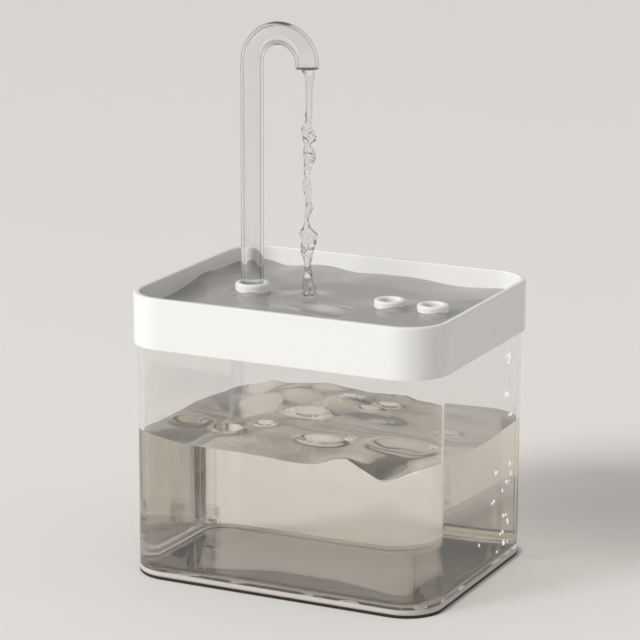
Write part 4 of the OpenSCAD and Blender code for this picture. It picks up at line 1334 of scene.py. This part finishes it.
@dataclass
class TankShell(SubAssembly):
    """The clear tank on its rubber foot, with its water, the drops and the foam, in millimetres.

    A spot of drops holds its middle's y and z and how far it reaches each way. A spot of foam holds its
    lowest x and y and its highest x and y.
    """

    nodes: Tuple[str, ...] = ("foot_ring",)
    edge_top: float = 4.9
    wide: float = 180.2
    deep: float = 143.2
    corner: float = 19.5
    floor: float = 4.9
    fillet: float = 5.0
    level: float = 81.3
    waves: Tuple[Wave, ...] = (
        Swell(-88, -72, 3.2, 22, 26), Swell(41, -72, 5.2, 9, 14), Swell(92, -60, 3.0, 14, 26),
        Swell(90, -30, 1.2, 14, 26), Swell(-20, 60, 1.6, 30, 40), Swell(-90, 60, -2.4, 30, 30),
        Swell(67, -72, -5.4, 10, 26),
        Dimple(-75, -29, 2.4, 8.5, 1.0), Dimple(-48, -33, 3.6, 5.6, 1.9, 1.3),
        Dimple(-34, -15, 2.4, 3.6, 1.3, 1.3), Dimple(-20, 14, 2.8, 7.0, 2.2, 1.5),
        Dimple(10, -32, 2.6, 6.5, 1.7, 1.6), Dimple(57, -24, 2.4, 9.5, 1.4, 1.7),
        Dimple(7, 38, 1.6, 4.0, 0.9, 1.3), Dimple(13, 50, 2.0, 3.6, 1.3, 1.4),
        Dimple(66, 12, 2.0, 3.6, 1.2, 1.3),
        Swell(-58, 30, 2.6, 9, 26), Swell(-48, 58, 1.8, 12, 14), Swell(-10, 44, 1.6, 10, 12),
        Swell(24, 4, 1.4, 12, 16), Swell(-72, 71, 1.7, 7, 8), Swell(-34, 72, 1.5, 8, 7),
        Swell(-8, 72, -1.0, 7, 8), Swell(14, 72, 1.2, 6, 6),
        Chop(66.0, 1.3, 3.1), Chop(26.0, 0.55, 7.7))
    wall: float = 89.9
    drop_spots: Tuple[Tuple[float, float, float, float], ...] = (
        (39.0, 121.6, 3.0, 3.0), (39.0, 101.0, 3.2, 2.0), (44.0, 87.0, 1.6, 1.0), (24.0, 58.0, 2.2, 1.2),
        (42.0, 48.0, 3.0, 1.4), (34.0, 44.5, 1.8, 1.0), (45.0, 59.0, 1.6, 2.0), (21.0, 42.0, 2.0, 1.2),
        (47.0, 52.0, 1.6, 1.2), (38.0, 30.0, 2.6, 1.2), (43.0, 24.0, 1.8, 1.4), (34.0, 20.0, 2.0, 1.0),
        (40.0, 13.0, 3.4, 1.2), (28.0, 10.0, 1.6, 1.0), (2.0, 22.0, 1.4, 0.9))
    foam_spots: Tuple[Tuple[float, float, float, float], ...] = (
        (-27.0, 22.0, -17.0, 38.0), (-24.0, 38.0, -12.0, 50.0), (-19.0, 50.0, -4.0, 60.0),
        (-34.0, 8.0, -28.0, 16.0), (3.0, -40.0, 12.0, -36.0), (-14.0, 2.0, -6.0, 8.0),
        (20.0, -26.0, 26.0, -18.0), (64.0, -71.4, 86.0, -68.6), (70.0, -20.0, 76.0, -14.0))
    drops_per_area: float = 330000.0
    bubbles_per_area: float = 1500000.0
    foam_cells: int = 6
    weld: float = 0.001
    underside: float = -0.9
    normal_weight: int = 100

    def pool(self) -> Pool:
        """The tank's water as a pool."""
        return Pool("tank_water", self.wide, self.deep, self.corner, self.floor, self.level,
                    self.fillet, self.waves)

    def shell(self) -> bpy.types.Object:
        """Copies the tank's solid and gives the edge of its thick floor a finish of its own.

        Returns:
            The tank.
        """
        top = self.edge_top * MM
        work = bmesh.new()
        work.from_mesh(frame["nodes"]["tank"].data)
        bmesh.ops.remove_doubles(work, verts=work.verts, dist=self.weld * MM)
        bmesh.ops.bisect_plane(work, geom=work.verts[:] + work.edges[:] + work.faces[:],
                               dist=self.weld * MM, plane_co=(0.0, 0.0, top), plane_no=(0.0, 0.0, 1.0))
        work.normal_update()
        for face in work.faces:
            low = face.calc_center_median().z < top
            face.material_index = int(low and face.normal.z > self.underside)
        mesh = bpy.data.meshes.new("tank_shell")
        work.to_mesh(mesh)
        work.free()
        shell = new_object("tank_shell", smooth(mesh, CAD_CREASE), self.palette.get("tank"),
                           self.palette.get("tank_edge"))
        modifier = shell.modifiers.new("weighted", "WEIGHTED_NORMAL")
        modifier.keep_sharp, modifier.weight = True, self.normal_weight
        shaded = evaluated_mesh(shell)
        shell.modifiers.clear()
        shell.data = shaded
        return shell

    def wall_patches(self) -> List[Patch]:
        """Where the drops cling to the right wall."""
        return [Patch((self.wall, y - run, z - rise), (0.0, 2 * run, 0.0), (0.0, 0.0, 2 * rise))
                for y, z, run, rise in self.drop_spots]

    def foam_patches(self) -> List[Patch]:
        """Covers the spots of foam with patches.

        Returns:
            Where bubbles float on the water.
        """
        pool = self.pool()
        return [patch for x0, y0, x1, y1 in self.foam_spots
                for patch in draped(pool, (x0, y0), (x1, y1), self.foam_cells)]

    def build(self) -> None:
        """Makes the shell, the water, the drops and the bubbles."""
        get = self.palette.get
        drops = Drops("wall_drops", self.wall_patches(), self.drops_per_area,
                      smallest=0.0004, largest=0.0012, flat=0.9, seed=4, detail=3)
        foam = Drops("surface_bubbles", self.foam_patches(), self.bubbles_per_area,
                     smallest=0.00006, largest=0.00024, flat=0.8, seed=9, detail=1)
        self.put(self.shell(), "tank", "tank")
        water = new_object("tank_water", self.pool().mesh(), get("tank_water"), get("tank_surface"))
        self.put(water, "tank")
        # The drops and bubbles wear the glowing finish: painted glints.
        for scattered in (drops, foam):
            self.put(scattered.build(get("bubble")), "tank")


@dataclass
class DrinkingTray(SubAssembly):
    """The white tray on its gasket, with the shallow water in it, in millimetres."""

    nodes: Tuple[str, ...] = ("tray", "tray_gasket")
    wide: float = 183.2
    deep: float = 146.2
    corner: float = 21.0
    floor: float = 147.45
    fillet: float = 4.0
    level: float = 153.7
    waves: Tuple[Wave, ...] = (
        Swell(-92, -25, -2.2, 18, 20), Swell(-91, 20, 2.6, 20, 16), Swell(-80, 66, 2.2, 14, 22),
        Swell(-64, 73, -1.6, 10, 16), Swell(-40, 72, 2.0, 16, 18), Swell(-18, 73, -0.9, 10, 18),
        Swell(50, 73, -2.2, 22, 22), Swell(-17, 2, 1.2, 14, 12), Swell(-6, -34, 1.6, 22, 12),
        Swell(80, -24, -0.9, 20, 20), Swell(20, 34, -0.8, 26, 20), Swell(-50, -34, -0.6, 26, 16),
        Swell(48, 0, 1.0, 24, 16), Swell(-50, 0, 1.2, 16, 14), Swell(-57, -9, 0.9, 4, 4),
        Swell(-46, -11, 1.3, 4, 4), Swell(42, -8, 1.5, 6, 5), Swell(69, -7, 1.2, 6, 5),
        Swell(-17, 3, 1.6, 7, 6), Swell(5, -17, 2.4, 13, 5), Swell(5, -27, -1.4, 15, 6),
        Chop(70.0, 0.9, 1.7), Chop(24.0, 0.25, 4.1))
    posts: Tuple[Post, ...] = (Post(-50, 0, 9.9), Post(36, 0, 8.9), Post(62.3, 0, 8.9))
    creep: float = 0.9
    creep_reach: float = 1.15
    cut_below: float = 8.0
    cut_above: float = 22.0

    def build(self) -> None:
        """Makes the tray's water, which creeps up what stands in it, and cuts it clear of the posts."""
        creeping = tuple(Dimple(post.x, post.y, -self.creep, post.radius * self.creep_reach, 0.0)
                         for post in self.posts)
        pool = Pool("tray_water", self.wide, self.deep, self.corner, self.floor, self.level, self.fillet,
                    self.waves + creeping)
        finish = self.palette.get("tray_water")
        water = new_object(pool.name, pool.mesh(), finish, finish)
        cut_posts(water, self.posts, self.floor - self.cut_below, self.level + self.cut_above)
        self.put(water, "tray")


@dataclass
class Spout(SubAssembly):
    """The swan-neck tube in its turning collar, with what holds it under the tray and its water."""

    nodes: Tuple[str, ...] = ("spout_tube", "spout_collar", "collar_clip", "collar_washer", "spout_socket",
                              "socket_o_rings", "socket_screws", "outlet_hose")
    neck: SwanNeck = field(default_factory=SwanNeck)
    stream: Stream = field(default_factory=Stream)

    def build(self) -> None:
        """Makes the swept tube, the water in its bore and the jet."""
        self.put(self.neck.tube(self.palette), "spout", "spout_tube")
        self.put(self.neck.water(self.palette), "spout")
        self.put(new_object("water_stream", self.stream.mesh(), self.palette.get("stream_water")), "spout")


@dataclass
class Pump(SubAssembly):
    """The sealed motor, the pump chamber under it and the rotor between them."""

    nodes: Tuple[str, ...] = (
        "pump_volute", "volute_o_ring", "intake_plate", "volute_screws", "motor_housing", "motor_cap",
        "stator_core", "stator_coils", "driver_board", "cable_gland", "mount_screws", "rotor_magnet",
        "impeller", "rotor_shaft", "shaft_bushes")


@dataclass
class Intake(SubAssembly):
    """The clear drop tube, its strainer and the foot valve, all of them standing in the water."""

    nodes: Tuple[str, ...] = ("drop_tube", "foot_strainer", "valve_disc")

    def finish_of(self, node: str) -> str:
        """The finish of what is clear but stands in water, else the slot's own."""
        return {"drop_tube": "wet_tube", "foot_strainer": "wet_tube"}.get(node, NODE_SLOTS[node])


@dataclass
class Drains(SubAssembly):
    """The two rings that stand in the tray's drain holes, and their seals."""

    nodes: Tuple[str, ...] = ("drain_ring_left", "drain_ring_right", "drain_o_ring_left",
                              "drain_o_ring_right")


@dataclass(frozen=True)
class Pad:
    """A pad of the filter, in millimetres: its underside, its top and the round pits of its surface."""

    name: str
    low: float
    high: float
    inset: float = 0.1
    cell: float = 0.0
    depth: float = 0.0


@dataclass
class FilterCartridge(SubAssembly):
    """The filter box with its lid and three pads, in millimetres."""

    nodes: Tuple[str, ...] = ("filter_box", "filter_lid", "filter_cotton", "filter_carbon", "filter_sponge")
    centre_x: float = 49.15
    wide: float = 56.4
    deep: float = 34.4
    corner: float = 3.0
    fillet: float = 0.4
    unsunk: float = 0.95
    fleece: Pad = Pad("fleece_pad", 134.8, 139.9, cell=1.6, depth=0.35)
    granules: Pad = Pad("carbon_bed", 130.5, 133.9, inset=0.7)
    foam: Pad = Pad("foam_pad", 127.0, 129.6, cell=1.5, depth=0.7)

    def slab(self, pad: Pad) -> bpy.types.Mesh:
        """A rounded slab with faces small enough to be shaped.

        Args:
            pad: its sizes.

        Returns:
            The mesh.
        """
        return Pool(pad.name, self.wide - 2 * pad.inset, self.deep - 2 * pad.inset, self.corner, pad.low,
                    pad.high, self.fillet, (), around=220, rings=36, fillet_steps=4,
                    centre_x=self.centre_x).mesh()

    def pitted(self, pad: Pad, material: bpy.types.Material) -> bpy.types.Object:
        """Makes a pad whose surface sinks in round pits.

        Args:
            pad: its sizes.
            material: its finish.

        Returns:
            The piece.
        """
        sizes = {"Cell": pad.cell * MM, "Depth": pad.depth * MM}
        recipe = Recipe(pad.name + "_tree", sizes)
        add = recipe.graph.add
        pits = add("ShaderNodeTexVoronoi", inputs={
            "Vector": add("GeometryNodeInputPosition"), "Scale": 1.0 / recipe.value("Cell")},
            output="Distance")
        sunk = add("ShaderNodeVectorMath", {"operation": "SCALE"}, {
            0: add("GeometryNodeInputNormal"), "Scale": (pits - self.unsunk) * recipe.value("Depth")})
        moved = add("GeometryNodeSetPosition", inputs={"Geometry": recipe.value("Carrier"), "Offset": sunk})
        recipe.close(moved, material)
        return recipe.bake(pad.name, self.slab(pad), sizes, material)

    def grainy(self, pad: Pad, material: bpy.types.Material) -> bpy.types.Object:
        """Makes a pad that is covered in granules.

        Args:
            pad: its sizes.
            material: its finish.

        Returns:
            The piece.
        """
        sizes = {"Density": 700000.0, "Smallest": 0.0004, "Largest": 0.0007, "Seed": 11}
        recipe = Recipe(pad.name + "_tree", sizes)
        add = recipe.graph.add
        spread = recipe.spread()
        granule = add("GeometryNodeMeshIcoSphere", inputs={"Radius": 1.0, "Subdivisions": 1})
        turn = add("FunctionNodeRandomValue", {"data_type": "FLOAT_VECTOR"}, {
            RANDOM_MOST_VECTOR: (math.tau, math.tau, math.tau), "Seed": recipe.value("Seed")})
        placed = add("GeometryNodeInstanceOnPoints", inputs={
            "Points": spread, "Instance": granule, "Rotation": turn, "Scale": recipe.random_size()})
        both = add("GeometryNodeJoinGeometry", inputs={0: placed})
        recipe.graph.tree.links.new(recipe.value("Carrier").socket, both.socket.node.inputs[0])
        recipe.close(both, material)
        return recipe.bake(pad.name, self.slab(pad), sizes, material)

    def build(self) -> None:
        """Makes the pads and puts them in place of their solids."""
        get = self.palette.get
        self.put(self.pitted(self.fleece, get("filter_fleece")), "filter", "filter_cotton")
        self.put(self.grainy(self.granules, get("carbon_granules")), "filter", "filter_carbon")
        self.put(self.pitted(self.foam, get("filter_foam")), "filter", "filter_sponge")


# ---------------------------------------------------------------- studio

def shown_ray(graph: Graph) -> Sock:
    """Tells the rays that show the backdrop from those that only carry its light.

    Args:
        graph: the graph that asks.

    Returns:
        1 where the backdrop is seen, straight or in gloss or glass, else 0.
    """
    rays = [graph.add("ShaderNodeLightPath", output=name)
            for name in ("Is Camera Ray", "Is Glossy Ray", "Is Transmission Ray")]
    return rays[0].either(rays[1]).either(rays[2])


@dataclass(frozen=True)
class Strip:
    """A long soft lamp, in metres."""

    name: str
    energy: float
    place: Point
    wide: float
    high: float


@dataclass
class Studio:
    """Floor, backdrop colour, lamps and camera, in metres and degrees."""

    floor_colour: Colour = (0.74, 0.725, 0.705)
    floor_seen: Colour = (0.90, 0.88, 0.855)
    back_colour: Colour = (0.79, 0.775, 0.755)
    ceiling_colour: Colour = (0.30, 0.295, 0.29)
    fill: Colour = (0.42, 0.412, 0.40)
    ceiling_steep: float = 1.5
    key: float = 2.2
    key_spread: float = 0.35
    key_away: float = 3.0
    key_from: Point = (-0.50, -0.72, 0.52)
    lit: Point = (0.0, 0.0, 0.14)
    strips: Tuple[Strip, ...] = (
        Strip("strip_left", 5.0, (-1.5, -0.9, 0.7), 0.25, 1.6),
        Strip("strip_right", 1.2, (1.6, 0.3, 0.8), 0.2, 1.4))
    azimuth: float = 25.69
    elevation: float = 13.99
    roll: float = 0.20
    distance: float = 1.6614
    target: Point = (-0.00717, 0.0, 0.14171)
    lens: float = 165.19
    film: float = 36.0
    sight: float = 50.0
    floor_reach: float = 9.0
    floor_blotch: float = 0.35
    floor_shade: float = 0.985

    def floor(self) -> None:
        """Lays the floor."""
        material, graph = new_material("studio_floor")
        shade = tuple(c * self.floor_shade for c in self.floor_seen)
        tone = graph.mix(graph.noise(self.floor_blotch), shade, self.floor_seen)
        shader = graph.add("ShaderNodeBsdfPrincipled", inputs={
            "Base Color": graph.mix(shown_ray(graph), self.floor_colour, tone), "Roughness": 0.75,
            "Specular IOR Level": 0.2})
        graph.surface(shader)
        far = self.floor_reach
        mesh = bpy.data.meshes.new("floor")
        mesh.from_pydata([(-far, -far, 0), (far, -far, 0), (far, far, 0), (-far, far, 0)], [],
                         [(0, 1, 2, 3)])
        new_object("floor", mesh, material)

    def world(self) -> None:
        """Sets the backdrop and the fill light."""
        world = bpy.data.worlds.new("studio")
        bpy.context.scene.world = world
        world.use_nodes = True
        world.node_tree.nodes.clear()
        graph = Graph(world.node_tree)
        up = graph.part(graph.add("ShaderNodeTexCoord", output="Generated"), "Z")
        back = graph.mix((up * self.ceiling_steep).clamped(), self.back_colour, self.ceiling_colour)
        seen = graph.add("ShaderNodeBackground", inputs={"Color": back, "Strength": 1.0})
        fill = graph.add("ShaderNodeBackground", inputs={"Color": (*self.fill, 1.0), "Strength": 1.0})
        mixed = graph.add("ShaderNodeMixShader", inputs={0: shown_ray(graph), 1: fill, 2: seen})
        graph.add("ShaderNodeOutputWorld", inputs={"Surface": mixed})

    def lamp(self, data: bpy.types.Light, energy: float, place: Vector) -> bpy.types.Object:
        """Hangs a lamp that faces the object.

        Args:
            data: the lamp.
            energy: its strength.
            place: where it hangs.

        Returns:
            The lamp as an object.
        """
        data.energy = energy
        facing = (Vector(self.lit) - place).to_track_quat("-Z", "Y")
        lamp = linked(data.name, data)
        lamp.matrix_world = Matrix.Translation(place) @ facing.to_matrix().to_4x4()
        lamp.visible_camera = False
        lamp.visible_transmission = False
        return lamp

    def lamps(self) -> None:
        """Hangs the key, which gloss doesn't show, and the strips that draw the highlights."""
        sun = bpy.data.lights.new("key", "SUN")
        sun.angle = self.key_spread
        away = Vector(self.lit) + Vector(self.key_from) * self.key_away
        self.lamp(sun, self.key, away).visible_glossy = False
        for strip in self.strips:
            data = bpy.data.lights.new(strip.name, "AREA")
            data.shape, data.size, data.size_y = "RECTANGLE", strip.wide, strip.high
            self.lamp(data, strip.energy, Vector(strip.place))

    def camera(self) -> None:
        """Sets the camera."""
        a, e, r = (math.radians(v) for v in (self.azimuth, self.elevation, self.roll))
        back = Vector((math.sin(a) * math.cos(e), -math.cos(a) * math.cos(e), math.sin(e)))
        right = Vector((math.cos(a), math.sin(a), 0.0))
        up = back.cross(right)
        side = right * math.cos(r) + up * math.sin(r)
        over = up * math.cos(r) - right * math.sin(r)
        data = bpy.data.cameras.new("camera")
        data.lens, data.sensor_width, data.clip_end = self.lens, self.film, self.sight
        camera = linked("camera", data)
        place = Vector(self.target) + back * self.distance
        camera.matrix_world = Matrix((
            (side.x, over.x, back.x, place.x), (side.y, over.y, back.y, place.y),
            (side.z, over.z, back.z, place.z), (0, 0, 0, 1)))
        bpy.context.scene.camera = camera

    def build(self) -> None:
        """Sets up the whole studio."""
        self.camera()
        self.floor()
        self.world()
        self.lamps()
        bpy.context.scene.view_settings.view_transform = "Standard"


def main() -> None:
    """Dresses and builds each sub-assembly in order."""
    logging.basicConfig(level=logging.INFO, format="%(name)s: %(message)s")
    palette = Palette()
    Studio().build()
    for kind in (TankShell, DrinkingTray, Spout, Pump, Intake, Drains, FilterCartridge):
        part = kind(palette)
        part.dress()
        part.build()


if __name__ == "__main__":
    main()
